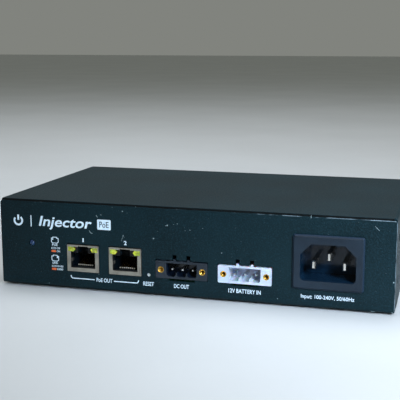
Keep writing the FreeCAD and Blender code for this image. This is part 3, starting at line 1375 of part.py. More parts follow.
def transformer():
    """E-shaped ferrite core with a winding round its middle limb."""
    x, y, z = spot("transformer")
    core = middle_box("core_blank", (x, y, z), ("core_length", "core_width", "core_height"))
    height = "(core_height - 2 * core_limb)"
    width = "((core_length - core_centre) / 2 - core_limb)"
    windows = []
    for name, side in (("window_left", "-"), ("window_right", "+")):
        middle = (f"{x} {side} (core_centre + {width}) / 2", y, f"{z} + core_limb")
        windows.append(middle_box(name, middle, (width, "core_width", height)))
    keep(cut("core", core, windows), "transformer_core")
    coil = middle_box("coil_blank", (x, y, f"{z} + core_limb + slip"),
                      (f"core_centre + 2 * {width} - 2 * slip", "coil_width", f"{height} - 2 * slip"))
    limb = middle_box("coil_space", (x, y, f"{z} + core_limb"),
                      ("core_centre + 2 * slip", "core_width + 2 * slip", height))
    keep(cut("coil", coil, [limb]), "transformer_winding")


def sized(name, middle, size, along_y):
    """A standing block, turned a quarter when its length lies along Y."""
    return middle_box(name, middle, (size[1], size[0], size[2]) if along_y else size)


def heat_sink(label, length, along_y):
    """Upright aluminium plate with five short fins on the side away from its device."""
    x, y, z = spot(label)
    parts = [sized(label + "_plate", (x, y, z), (length, "sink_gauge", "sink_height"), along_y)]
    out = "(sink_gauge + fin_reach) / 2"
    for step in (-2, -1, 0, 1, 2):
        shift = f"{step} * fin_pitch"
        middle = (f"{x} + {out}", f"{y} + {shift}", z) if along_y else (f"{x} + {shift}", f"{y} + {out}", z)
        parts.append(sized("%s_fin_%d" % (label, step + 3), middle, ("fin_gauge", "fin_reach", "sink_height"),
                           along_y))
    keep(fuse(label + "_solid", parts), label)


def device(label, sink, along_y):
    """Flat power package against its heat sink, with three legs down to the board."""
    x, y, z = spot(sink)
    out = "(sink_gauge + package_gauge) / 2"
    x, y = (f"{x} - {out}", y) if along_y else (x, f"{y} - {out}")
    parts = [sized(label + "_case", (x, y, f"{z} + package_rise"),
                   ("package_width", "package_gauge", "package_height"), along_y)]
    for step in (-1, 0, 1):
        shift = f"{step} * package_leg_pitch"
        foot = (x, f"{y} + {shift}", z) if along_y else (f"{x} + {shift}", y, z)
        parts.append(middle_box("%s_leg_%d" % (label, step + 2), foot,
                                ("package_leg", "package_leg", "package_rise + package_leg")))
    keep(fuse(label + "_solid", parts), label)


def power_stage():
    """Storage capacitor, transformer, heat sinks and their power devices."""
    keep(cylinder("bulk", spot("bulk_capacitor"), "bulk_radius", "bulk_height"), "bulk_capacitor")
    transformer()
    heat_sink("primary_heat_sink", "primary_sink_length", False)
    device("switching_transistor", "primary_heat_sink", False)
    heat_sink("secondary_heat_sink", "secondary_sink_length", True)
    device("rectifier_diode", "secondary_heat_sink", True)


def output_stage():
    """Output capacitors and inductor, relay, line transformers, opto-coupler and chips."""
    x, y, z = spot("output_capacitors")
    cans = [(x, f"{y} + {step} * can_pitch", z) for step in (-1, 0, 1)]
    can = cylinder("can", ("0", "0", "0"), "output_radius", "output_height")
    keep(copies("can_set", can, cans), "output_capacitors")
    toroid("output_inductor_core", "output_inductor_winding", "inductor", 1, 300)
    keep(middle_box("relay", (HEADER_X[1], f"{FRONT} + relay_start", BOARD),
                    ("relay_wide", "relay_deep", "relay_tall")), "battery_relay")
    line_block = middle_box("line_block", ("0", "0", "0"), ("line_wide", "line_deep", "line_tall"))
    places = [(x, f"{FRONT} + line_start", BOARD) for x in JACK_X]
    keep(copies("line_pair", line_block, places), "lan_transformers")
    keep(block("optocoupler"), "optocoupler")
    x, y, z = spot("chips")
    chip = middle_box("chip", ("0", "0", "0"), ("chip_side", "chip_side", "chip_tall"))
    keep(copies("chip_set", chip, [(x, f"{y} + {step} * chip_pitch", z) for step in (-1, 0, 1)]),
         "control_chips")


def check_and_write():
    """Stop on any failed object or bad shape, then write each piece to its own file."""
    document.recompute()
    for item in document.Objects:
        if "Invalid" in item.State or "Error" in item.State:
            raise RuntimeError("%s failed: %s" % (item.Label, item.State))
    for label, item in pieces.items():
        if item.Shape.isNull() or not item.Shape.isValid() or not item.Shape.Solids:
            raise RuntimeError("%s has no valid solid" % label)
    os.makedirs("parts", exist_ok=True)
    for label, item in pieces.items():
        item.Shape.exportStep(os.path.join("parts", label + ".step"))
        print("%-26s %2d solid(s) %10.1f mm3" % (label, len(item.Shape.Solids), item.Shape.Volume))
    print(len(pieces), "pieces")


base_chassis()
top_cover()
cover_rail()
cover_screws()
rubber_feet()
insulation_sheet()
board_standoffs()
board_screws()
main_board()
network_jacks()
power_headers()
ac_inlet_housing()
ac_inlet_pins()
terminal_sleeves()
board_wires()
earth_wire()
earth_lug()
earth_screw()
earth_nut()
status_light()
reset_button()
mains_fuse()
mains_filter()
power_stage()
output_stage()
check_and_write()
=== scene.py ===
"""Looks of a two-port power-over-ethernet injector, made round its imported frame.

All lengths are metres, and sizes written in millimetres are multiplied by MM. The front panel
faces -Y, +Z points up, and the rubber feet stand on z = 0.
"""

import json
import logging
import math
from dataclasses import dataclass, field
from enum import Enum

import bmesh
import bpy
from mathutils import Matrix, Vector


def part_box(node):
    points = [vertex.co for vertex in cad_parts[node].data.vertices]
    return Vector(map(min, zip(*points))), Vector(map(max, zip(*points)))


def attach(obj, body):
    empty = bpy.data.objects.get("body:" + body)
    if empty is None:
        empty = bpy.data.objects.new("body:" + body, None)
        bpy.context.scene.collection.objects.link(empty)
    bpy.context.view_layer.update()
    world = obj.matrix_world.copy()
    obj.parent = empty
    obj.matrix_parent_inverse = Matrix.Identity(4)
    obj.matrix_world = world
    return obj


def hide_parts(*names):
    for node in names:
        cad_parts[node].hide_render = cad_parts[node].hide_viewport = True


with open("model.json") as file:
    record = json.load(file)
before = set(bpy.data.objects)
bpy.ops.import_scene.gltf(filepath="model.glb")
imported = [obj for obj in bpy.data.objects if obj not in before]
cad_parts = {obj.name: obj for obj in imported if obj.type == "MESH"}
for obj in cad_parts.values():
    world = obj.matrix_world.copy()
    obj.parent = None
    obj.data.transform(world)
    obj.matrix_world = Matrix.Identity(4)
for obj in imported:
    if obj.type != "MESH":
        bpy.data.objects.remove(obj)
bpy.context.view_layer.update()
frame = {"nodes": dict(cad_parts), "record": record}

MM = 0.001
WAVE_PERIOD = math.pi / 10

MATH = "ShaderNodeMath"
MAP_RANGE = "ShaderNodeMapRange"
MIX = "ShaderNodeMix"
NOISE = "ShaderNodeTexNoise"

Socket = bpy.types.NodeSocket

log = logging.getLogger("injector")


def linear(code: str) -> tuple[float, float, float, float]:
    """Turn an sRGB hex colour into linear light.

    Args:
        code: six hex digits, such as "1b2a30".

    Returns:
        Linear red, green and blue, and an alpha of one.
    """
    parts = [int(code[index:index + 2], 16) / 255 for index in (0, 2, 4)]
    light = [part / 12.92 if part <= 0.04045 else ((part + 0.055) / 1.055) ** 2.4 for part in parts]
    return light[0], light[1], light[2], 1.0


def add(tree: bpy.types.NodeTree, kind: str, inputs: dict | list | None = None,
        **settings) -> bpy.types.Node:
    """Add a node with its settings, its input values and its links.

    Args:
        tree: the shader or geometry tree that gets the node.
        kind: Blender's name of the node type.
        inputs: what each input gets, in order, or by name or index: a value, a socket that feeds it, or
            a node whose first output feeds it.
        settings: properties of the node itself.

    Returns:
        The new node.
    """
    node = tree.nodes.new(kind)
    for name, value in settings.items():
        setattr(node, name, value)
    for key, value in inputs.items() if isinstance(inputs, dict) else enumerate(inputs or ()):
        if isinstance(value, bpy.types.Node):
            value = value.outputs[0]
        if isinstance(value, Socket):
            tree.links.new(value, node.inputs[key])
        else:
            node.inputs[key].default_value = value
    return node


# Finishes


class Slot(Enum):
    """The record's material slots."""

    POWDER_COAT = "powder_coat"
    ZINC_STEEL = "zinc_steel"
    BLACK_SCREW = "black_screw"
    RUBBER = "rubber"
    FILM = "film"
    BOARD_LAMINATE = "board_laminate"
    NICKEL_SHIELD = "nickel_shield"
    JACK_PLASTIC = "jack_plastic"
    GILT_CONTACT = "gilt_contact"
    YELLOW_LENS = "yellow_lens"
    BLACK_NYLON = "black_nylon"
    WHITE_NYLON = "white_nylon"
    TINNED_PIN = "tinned_pin"
    BRASS_INSERT = "brass_insert"
    INLET_PLASTIC = "inlet_plastic"
    NICKEL_BLADE = "nickel_blade"
    CLEAR_NYLON = "clear_nylon"
    BROWN_WIRE = "brown_wire"
    BLUE_WIRE = "blue_wire"
    GREEN_WIRE = "green_wire"
    BLUE_LENS = "blue_lens"
    BUTTON_PLASTIC = "button_plastic"
    FUSE_GLASS = "fuse_glass"
    FERRITE = "ferrite"
    ENAMELLED_COPPER = "enamelled_copper"
    FILM_CAPACITOR_CASE = "film_capacitor_case"
    DISC_CAPACITOR_COAT = "disc_capacitor_coat"
    MOULDING_EPOXY = "moulding_epoxy"
    CAPACITOR_SLEEVE = "capacitor_sleeve"
    WINDING_TAPE = "winding_tape"
    HEAT_SINK_ALUMINIUM = "heat_sink_aluminium"
    POWDER_CORE = "powder_core"
    RELAY_CASE = "relay_case"


@dataclass
class Ground:
    """What a finish is laid on.

    Attributes:
        tree: the material's tree.
        where: the object's own coordinates.
    """

    tree: bpy.types.NodeTree
    where: Socket


@dataclass(frozen=True)
class Finish:
    """One real material: two colours in soft patches, a fine grain, and the shader's constants.

    Attributes:
        name: the material's common name and how its surface was made.
        light: sRGB colour of its paler patches.
        dark: sRGB colour of its darker patches.
        patch: millimetres across a patch of colour.
        rough: lowest and highest roughness.
        grain: millimetres between the grains of its surface.
        relief: millimetres from the grain's hollows to its tops.
        stretch: how much closer the grain lies along X, Y and Z, as on drawn or brushed metal.
        shader: constant inputs of the shader.
    """

    name: str
    light: str
    dark: str
    patch: float
    rough: tuple[float, float]
    grain: float
    relief: float
    stretch: tuple[float, float, float] = (1.0, 1.0, 1.0)
    shader: tuple[tuple[str, float], ...] = ()

    def colour(self, ground: Ground) -> Socket:
        """The two colours in soft patches.

        Args:
            ground: what the finish is laid on.

        Returns:
            The base colour.
        """
        patches = add(ground.tree, NOISE, {
            "Vector": ground.where, "Scale": 1 / (self.patch * MM), "Detail": 3.0})
        share = add(ground.tree, MAP_RANGE, [patches, 0.35, 0.65])
        return add(ground.tree, MIX, {0: share, 6: linear(self.dark), 7: linear(self.light)},
                   data_type="RGBA").outputs[2]

    def height(self, ground: Ground) -> Socket:
        """The grain's height from 0 to 1.

        Args:
            ground: what the finish is laid on.

        Returns:
            The height.
        """
        drawn = add(ground.tree, "ShaderNodeMapping", {"Vector": ground.where, "Scale": self.stretch})
        return add(ground.tree, NOISE, {
            "Vector": drawn, "Scale": 1 / (self.grain * MM), "Detail": 2.0}).outputs[0]

    def roughness(self, ground: Ground, height: Socket) -> Socket:
        """Roughness that follows the grain.

        Args:
            ground: what the finish is laid on.
            height: the grain's height.

        Returns:
            The roughness.
        """
        return add(ground.tree, MAP_RANGE, [height, 0.3, 0.7, *self.rough]).outputs[0]

    def material(self) -> bpy.types.Material:
        """The finish as a material, made the first time that it is asked for.

        Returns:
            The material.
        """
        known = bpy.data.materials.get(self.name)
        if known:
            return known
        material = bpy.data.materials.new(self.name)
        material.use_nodes = True
        tree = material.node_tree
        tree.nodes.clear()
        ground = Ground(tree, add(tree, "ShaderNodeTexCoord").outputs["Object"])
        height = self.height(ground)
        shader = add(tree, "ShaderNodeBsdfPrincipled", {
            "Base Color": self.colour(ground),
            "Roughness": self.roughness(ground, height),
            "Normal": add(tree, "ShaderNodeBump", {"Height": height, "Distance": self.relief * MM}),
            **dict(self.shader)})
        add(tree, "ShaderNodeOutputMaterial", {"Surface": shader})
        return material


@dataclass(frozen=True)
class WornCoat(Finish):
    """A sparkling coat worn thin along the case's edges, with a painted highlight on the panel's top edge
    and painted shade under the lid.

    Attributes:
        bare: sRGB colour where the coat is worn thin; along the panel's top edge it is also a painted
            highlight.
        sparkle: sRGB colour of its fine paler grains.
        grime: sRGB colour of the painted shade in the gap under the lid's edge, where shade falls between
            lid and panel.
        reach: millimetres from an edge to where the rubbing and the painted highlight end.
        slim: how many times narrower the rubbing is along the upright edges.
        nick: millimetres from one nick to the next.
        half: half the case's width, in metres.
        front: the panel's face.
        under: the panel's lower edge.
        panel_top: the panel's upper edge.
        top: the cover's top.
    """

    bare: str = "7f929b"
    sparkle: str = "0f2c34"
    grime: str = "020607"
    reach: float = 0.4
    slim: float = 1.8
    nick: float = 4.0
    half: float = 0.096
    front: float = -0.0575
    under: float = 0.001
    panel_top: float = 0.0429
    top: float = 0.044

    def colour(self, ground: Ground) -> Socket:
        """The coat's colour with sparkle, worn edges, a painted highlight on the panel's top edge and
        painted shade under the lid's edge.

        Args:
            ground: what the finish is laid on.

        Returns:
            The base colour.
        """
        tree, where = ground.tree, ground.where
        across, along, up = add(tree, "ShaderNodeSeparateXYZ", [where]).outputs
        from_middle = add(tree, MATH, [across], operation="ABSOLUTE")
        side = add(tree, MATH, [self.half, from_middle], operation="SUBTRACT")
        upright = add(tree, MATH, [side, self.slim], operation="MULTIPLY")
        behind = add(tree, MATH, [along, self.front], operation="SUBTRACT")
        below = add(tree, MATH, [self.top, up], operation="SUBTRACT")
        above = add(tree, MATH, [up, self.under], operation="SUBTRACT")
        # The panel's top edge gets the pale colour as a painted highlight, besides the wear on the other
        # edges.
        past_rim = add(tree, MATH, [up, self.panel_top], operation="SUBTRACT")
        rim = add(tree, MATH, [past_rim], operation="ABSOLUTE")
        nearest = add(tree, MATH, [behind, rim], operation="MAXIMUM")
        for first, second in ((behind, upright), (behind, above), (side, below)):
            farther = add(tree, MATH, [first, second], operation="MAXIMUM")
            nearest = add(tree, MATH, [nearest, farther], operation="MINIMUM")
        edge = add(tree, MAP_RANGE, [nearest, self.reach * MM, 0.3 * self.reach * MM])
        nicks = add(tree, NOISE, {"Vector": where, "Scale": 1 / (self.nick * MM), "Detail": 5.0})
        # Wear and the painted highlight both grow towards the right, where the light falls brighter.
        toward_right = add(tree, MAP_RANGE, [across, 0.1 * self.half, self.half, -0.16, 0.12])
        wear_and_highlight = add(tree, MATH, [nicks, toward_right], operation="ADD")
        # Pale mask: wear on the edges, and a painted highlight along the panel's top edge.
        rubbed_and_highlit = add(tree, MATH, [edge, add(tree, MAP_RANGE, [wear_and_highlight, 0.46, 0.68])], operation="MULTIPLY")
        # Painted shade: the lid's front edge above the panel is darkened where shade falls in the gap
        # between lid and panel.
        lid_edge_shade_mask = add(tree, MAP_RANGE, [up, self.panel_top, self.panel_top + 0.1 * MM])
        for gap, start, end in ((behind, 0.6, 0.4), (below, 0.1, 0.3)):
            inside = add(tree, MAP_RANGE, [gap, start * MM, end * MM])
            lid_edge_shade_mask = add(tree, MATH, [lid_edge_shade_mask, inside], operation="MULTIPLY")
        grains = add(tree, NOISE, {"Vector": where, "Scale": 1 / (self.grain * MM), "Detail": 1.0})
        sparkling = add(tree, MAP_RANGE, [grains, 0.46, 0.78])
        coat = super().colour(ground)
        for share, code in ((sparkling, self.sparkle), (rubbed_and_highlit, self.bare), (lid_edge_shade_mask, self.grime)):
            coat = add(tree, MIX, {0: share, 6: coat, 7: linear(code)}, data_type="RGBA").outputs[2]
        return coat


@dataclass(frozen=True)
class Banded(Finish):
    """A finish with even bands across one axis, such as turns of wire, tape or tracks.

    Attributes:
        band: sRGB colour between the bands.
        spacing: millimetres from one band to the next.
        axis: the axis that the bands cross.
        share: how much of the band's colour shows.
    """

    band: str = "000000"
    spacing: float = 1.0
    axis: str = "Z"
    share: float = 0.6

    def height(self, ground: Ground) -> Socket:
        """The bands, from 0 between them to 1 on them.

        Args:
            ground: what the finish is laid on.

        Returns:
            The bands.
        """
        inputs = {"Vector": ground.where, "Scale": WAVE_PERIOD / (self.spacing * MM)}
        return add(ground.tree, "ShaderNodeTexWave", inputs, bands_direction=self.axis).outputs["Fac"]

    def colour(self, ground: Ground) -> Socket:
        """The finish's colours with the bands over them.

        Args:
            ground: what the finish is laid on.

        Returns:
            The base colour.
        """
        share = add(ground.tree, MAP_RANGE, [self.height(ground), 0.0, 0.5, self.share, 0.0])
        return add(ground.tree, MIX, {0: share, 6: super().colour(ground), 7: linear(self.band)},
                   data_type="RGBA").outputs[2]


@dataclass(frozen=True)
class PolishedInside(Finish):
    """Moulded plastic, fine-spark textured on its face and polished inside its mouth, whose walls carry
    painted shade and reflection.

    Attributes:
        face: where the textured face ends, in metres along Y.
        inside: roughness of the polished walls.
        deep: sRGB colour of those walls, a painted shade with a painted bluish reflection inside the mouth.
        fade: millimetres over which the face turns into the walls.
        flange: millimetres that the flange's rim stays textured.
    """

    face: float = -0.0577
    inside: float = 0.16
    deep: str = "0b0c10"
    fade: float = 0.4
    flange: float = 1.6

    def depth(self, ground: Ground, start: float) -> Socket:
        """How far the walls have taken over from the face, from 0 to 1.

        Args:
            ground: what the finish is laid on.
            start: millimetres behind the face where they begin to.

        Returns:
            The share of the walls.
        """
        along = add(ground.tree, "ShaderNodeSeparateXYZ", [ground.where]).outputs[1]
        first = self.face + start * MM
        return add(ground.tree, MAP_RANGE, [along, first, first + self.fade * MM]).outputs[0]

    def colour(self, ground: Ground) -> Socket:
        """The face's colours, then the walls behind it in painted shade and reflection.

        Args:
            ground: what the finish is laid on.

        Returns:
            The base colour.
        """
        inputs = {0: self.depth(ground, 0.0), 6: super().colour(ground), 7: linear(self.deep)}
        return add(ground.tree, MIX, inputs, data_type="RGBA").outputs[2]

    def roughness(self, ground: Ground, height: Socket) -> Socket:
        """Rough on the face, smooth behind it.

        Args:
            ground: what the finish is laid on.
            height: the grain's height.

        Returns:
            The roughness.
        """
        inputs = {0: self.depth(ground, self.flange), 2: super().roughness(ground, height),
                  3: self.inside}
        return add(ground.tree, MIX, inputs, data_type="FLOAT").outputs[0]


METAL = (("Metallic", 1.0),)

# Each finish says what it gives the eye.
FINISHES: dict[Slot, Finish] = {
    # Matt blue-black coat whose fine orange peel breaks up every reflection. The peel is about
    # 0.3 mm on the real sheet and drawn at 0.7 mm so that it shows.
    Slot.POWDER_COAT: WornCoat(
        "powder coated sheet steel", "062026", "02171c", 38.0, (0.42, 0.6), 0.7, 0.08,
        shader=(("Specular IOR Level", 0.17),)),
    # Soft bluish glint of plated hardware with faint clouding.
    Slot.ZINC_STEEL: Finish(
        "zinc plated steel", "c3c7cb", "a4a8ab", 5.0, (0.26, 0.42), 0.4, 0.004, shader=METAL),
    # Near-black screw heads that still catch a thin rim of light.
    Slot.BLACK_SCREW: Finish(
        "black zinc plated steel", "2a2b2e", "1b1c1e", 2.0, (0.34, 0.5), 0.3, 0.006, shader=METAL),
    # Dull, slightly dusty black that soaks up light.
    Slot.RUBBER: Finish(
        "moulded rubber", "1e1e1f", "141415", 3.0, (0.78, 0.92), 0.5, 0.02),
    # Milky sheet that is just shiny enough to show its ripples.
    Slot.FILM: Finish(
        "extruded polyester film", "d9dcd8", "c9ccc6", 30.0, (0.22, 0.3), 9.0, 0.05,
        shader=(("Transmission Weight", 0.25), ("IOR", 1.58))),
    # Glossy green solder mask with the paler lines of the copper tracks beneath.
    Slot.BOARD_LAMINATE: Banded(
        "solder masked glass laminate", "143f26", "0f331f", 12.0, (0.24, 0.34), 1.0, 0.01,
        band="1f5a33", spacing=2.54, axis="X", share=0.5, shader=(("Coat Weight", 0.25),)),
    # Warm satin nickel with a fine rolled grain along the strip.
    Slot.NICKEL_SHIELD: Finish(
        "nickel plated brass strip", "b5b1a6", "9e9a90", 4.0, (0.34, 0.5), 0.5, 0.006,
        stretch=(0.2, 1.0, 1.0), shader=METAL),
    # Deep black moulding that goes glossy inside the socket, where its walls turn bluer as a painted
    # reflection.
    Slot.JACK_PLASTIC: PolishedInside(
        "injection moulded black polyester", "0a0b0d", "060708", 6.0, (0.36, 0.5), 0.4, 0.006,
        face=-0.0570, inside=0.22, deep="0a1319",
        shader=(("Specular IOR Level", 0.3),)),
    # Small warm gold lines at the back of each socket.
    Slot.GILT_CONTACT: Finish(
        "gold flashed phosphor bronze", "e0b45c", "c99a45", 1.5, (0.18, 0.3), 0.3, 0.002,
        shader=METAL),
    # Unlit yellow-green windows that glow a little where light enters them.
    Slot.YELLOW_LENS: Finish(
        "tinted polycarbonate light pipe", "dde03a", "8f9a22", 1.3, (0.14, 0.24), 0.8, 0.03,
        shader=(("Transmission Weight", 0.12), ("IOR", 1.58), ("Subsurface Weight", 0.3),
                ("Subsurface Scale", 0.002), ("Coat Weight", 0.5))),
    # Grey-black nylon with the soft bloom that glass filling gives it, and painted shade and reflection,
    # darker and bluer, inside its cells.
    Slot.BLACK_NYLON: PolishedInside(
        "glass filled black nylon", "212a33", "19222a", 7.0, (0.42, 0.58), 0.5, 0.012,
        face=-0.0574, inside=0.16, deep="0a1524",
        shader=(("Specular IOR Level", 0.4),)),
    # Cool white nylon, a little translucent at its thin walls.
    Slot.WHITE_NYLON: Finish(
        "injection moulded white nylon", "ccd5e2", "bcc7d8", 7.0, (0.3, 0.42), 0.6, 0.008,
        shader=(("Subsurface Weight", 0.25), ("Subsurface Scale", 0.0015))),
    # Bright tin with the slight waviness of a dipped surface.
    Slot.TINNED_PIN: Finish(
        "hot dipped tin on copper alloy", "d8dad8", "bfc1bf", 1.2, (0.16, 0.3), 0.5, 0.01,
        shader=METAL),
    # Yellow turned brass with bright tool marks.
    Slot.BRASS_INSERT: Banded(
        "turned brass", "f4d472", "dcae4c", 1.0, (0.2, 0.34), 0.2, 0.006,
        band="a9803a", spacing=0.25, axis="Y", share=0.3, shader=METAL),
    # Blue-grey flange with a fine spark texture; polished walls that mirror the blades, painted darker and
    # bluer as shade and reflection in the recess.
    Slot.INLET_PLASTIC: PolishedInside(
        "injection moulded black polyamide", "182733", "121f2a", 9.0, (0.4, 0.54), 0.5, 0.01,
        face=-0.0589, inside=0.14, deep="0c2437",
        shader=(("Specular IOR Level", 0.3),)),
    # Mirror-bright blades with the drawn lines of strip metal.
    Slot.NICKEL_BLADE: Finish(
        "nickel plated brass bar", "e2dfd8", "c9c6bf", 3.0, (0.12, 0.24), 0.4, 0.004,
        stretch=(1.0, 0.15, 1.0), shader=METAL),
    # Water-clear sleeves with a slight amber cast.
    Slot.CLEAR_NYLON: Finish(
        "extruded clear nylon", "eee8d4", "e2dac0", 6.0, (0.1, 0.2), 2.0, 0.02,
        shader=(("Transmission Weight", 0.75), ("IOR", 1.53))),
    # Slightly waxy brown insulation.
    Slot.BROWN_WIRE: Finish(
        "extruded brown polyvinyl insulation", "5b3420", "4c2a19", 8.0, (0.34, 0.46), 0.8, 0.01),
    # Slightly waxy blue insulation.
    Slot.BLUE_WIRE: Finish(
        "extruded blue polyvinyl insulation", "2a63b4", "2254a0", 8.0, (0.34, 0.46), 0.8, 0.01),
    # Green insulation with the yellow stripe of an earth wire.
    Slot.GREEN_WIRE: Banded(
        "extruded green polyvinyl insulation", "2c8a45", "23783a", 8.0, (0.34, 0.46), 0.8, 0.01,
        band="d9c93a", spacing=2.4, axis="Z", share=1.0),
    # Unlit blue dome, dark at its rim and brighter where light gathers.
    Slot.BLUE_LENS: Finish(
        "cast tinted epoxy", "22466f", "152f55", 1.4, (0.22, 0.32), 0.8, 0.01,
        shader=(("Transmission Weight", 0.08), ("IOR", 1.55), ("Subsurface Weight", 0.3),
                ("Subsurface Scale", 0.001))),
    # Pale, waxy little actuator.
    Slot.BUTTON_PLASTIC: Finish(
        "moulded acetal", "d5ded9", "bcc8c3", 1.0, (0.3, 0.42), 0.4, 0.006,
        shader=(("Subsurface Weight", 0.2), ("Subsurface Scale", 0.001))),
    # Pale ceramic tube with a faint glaze.
    Slot.FUSE_GLASS: Finish(
        "glazed ceramic tube", "ded8cc", "cfc8ba", 5.0, (0.2, 0.32), 1.0, 0.01),
    # Charcoal ceramic with a fine sintered grain.
    Slot.FERRITE: Finish(
        "sintered ferrite", "3a3a3c", "2c2c2e", 4.0, (0.5, 0.66), 0.3, 0.02),
    # Reddish drawn wire under clear enamel.
    Slot.ENAMELLED_COPPER: Finish(
        "enamelled copper wire", "b4622f", "964a20", 3.0, (0.2, 0.32), 0.6, 0.01,
        shader=METAL + (("Coat Weight", 0.6),)),
    # Plain yellow moulded box.
    Slot.FILM_CAPACITOR_CASE: Finish(
        "moulded yellow polyester box", "d9b036", "c99f2b", 7.0, (0.36, 0.5), 0.6, 0.01),
    # Blue dipped coat with the soft dimples of powder resin.
    Slot.DISC_CAPACITOR_COAT: Finish(
        "dipped blue epoxy", "2d6fb3", "255f9e", 3.0, (0.28, 0.42), 1.2, 0.05),
    # Matt black of chip packages.
    Slot.MOULDING_EPOXY: Finish(
        "transfer moulded epoxy", "242526", "1b1c1d", 4.0, (0.5, 0.66), 0.3, 0.01),
    # Shrunk dark sleeve whose pale stripe runs down one side.
    Slot.CAPACITOR_SLEEVE: Banded(
        "shrunk printed sleeve", "252a38", "1d2230", 6.0, (0.24, 0.34), 3.0, 0.01,
        band="b9bfc6", spacing=21.0, axis="X", share=0.35),
    # Yellow tape in overlapping layers.
    Slot.WINDING_TAPE: Banded(
        "wound polyester tape", "d8b63a", "c6a22c", 6.0, (0.26, 0.38), 1.0, 0.03,
        band="8f7418", spacing=5.2, axis="Y", share=0.5),
    # Bare extruded aluminium with fine die lines.
    Slot.HEAT_SINK_ALUMINIUM: Finish(
        "extruded aluminium", "c8cacc", "b0b3b5", 8.0, (0.3, 0.44), 0.6, 0.01,
        stretch=(1.0, 1.0, 0.1), shader=METAL),
    # Yellow painted ring with a soft sheen.
    Slot.POWDER_CORE: Finish(
        "painted iron powder", "d8c23a", "c2ab2c", 4.0, (0.34, 0.46), 0.8, 0.02),
    # Sea-blue relay housing.
    Slot.RELAY_CASE: Finish(
        "moulded blue polyester", "1f4f8c", "194377", 8.0, (0.3, 0.42), 0.6, 0.01),
}

# Pale worn gold that shows as bright dots deep in the socket.
WORN_GILT = Finish(
    "burnished gold flash", "fffaf0", "fbeed2", 0.6, (0.5, 0.62), 0.3, 0.002, shader=METAL)
# Cool white screen ink that lies a little unevenly on the coat.
WHITE_INK = Finish(
    "white screen printing ink", "e6f6ff", "cfe6f3", 1.8, (0.5, 0.62), 0.4, 0.004)
# Orange screen ink for the second state of each indicator.
ORANGE_INK = Finish(
    "orange screen printing ink", "f0703a", "d65f2e", 1.2, (0.5, 0.62), 0.4, 0.004)
# Dark ink with the coat's own colour, for words inside a printed chip.
DARK_INK = Finish(
    "blue-black screen printing ink", "35505e", "2a424f", 1.2, (0.5, 0.62), 0.4, 0.004)
# Grey-green scuffs where the coat has been scraped thin.
SCRAPED_COAT = Finish(
    "scraped powder coat", "93a7ab", "5f7277", 0.7, (0.45, 0.6), 0.3, 0.02)
# Dry pale specks of household dust.
DUST = Finish(
    "settled dust", "7d8a8c", "566265", 1.0, (0.85, 0.95), 0.3, 0.02)
# Plain pale surface that the object stands on.
STAGE_PAPER = Finish(
    "matt pale backdrop paper", "c9cccb", "c4c7c6", 160.0, (0.8, 0.9), 4.0, 0.02)


# Mesh helpers


def evaluated_mesh(source: bpy.types.Object) -> bpy.types.Mesh:
    """A plain mesh of an object as its modifiers leave it.

    Args:
        source: the object, already in the scene.

    Returns:
        A mesh of its own.
    """
    graph = bpy.context.evaluated_depsgraph_get()
    return bpy.data.meshes.new_from_object(source.evaluated_get(graph))


def finished_piece(name: str, mesh: bpy.types.Mesh, finish: Finish, body: str) -> bpy.types.Object:
    """Put a finished mesh in the scene as one piece.

    Args:
        name: the piece's name.
        mesh: its mesh, already in place.
        finish: what it is made of.
        body: the body that it rides on.

    Returns:
        The piece.
    """
    mesh.name = name
    mesh.materials.clear()
    mesh.materials.append(finish.material())
    for polygon in mesh.polygons:
        polygon.material_index = 0
    piece = bpy.data.objects.new(name, mesh)
    bpy.context.scene.collection.objects.link(piece)
    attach(piece, body)
    log.info("%s: %d faces", name, len(mesh.polygons))
    return piece


def closed_mesh(shape: bmesh.types.BMesh, name: str) -> bpy.types.Mesh:
    """Turn a bmesh into a mesh whose faces all point outwards.

    Args:
        shape: the bmesh, which is used up.
        name: the mesh's name.

    Returns:
        The mesh.
    """
    bmesh.ops.recalc_face_normals(shape, faces=shape.faces[:])
    mesh = bpy.data.meshes.new(name)
    shape.to_mesh(mesh)
    shape.free()
    return mesh


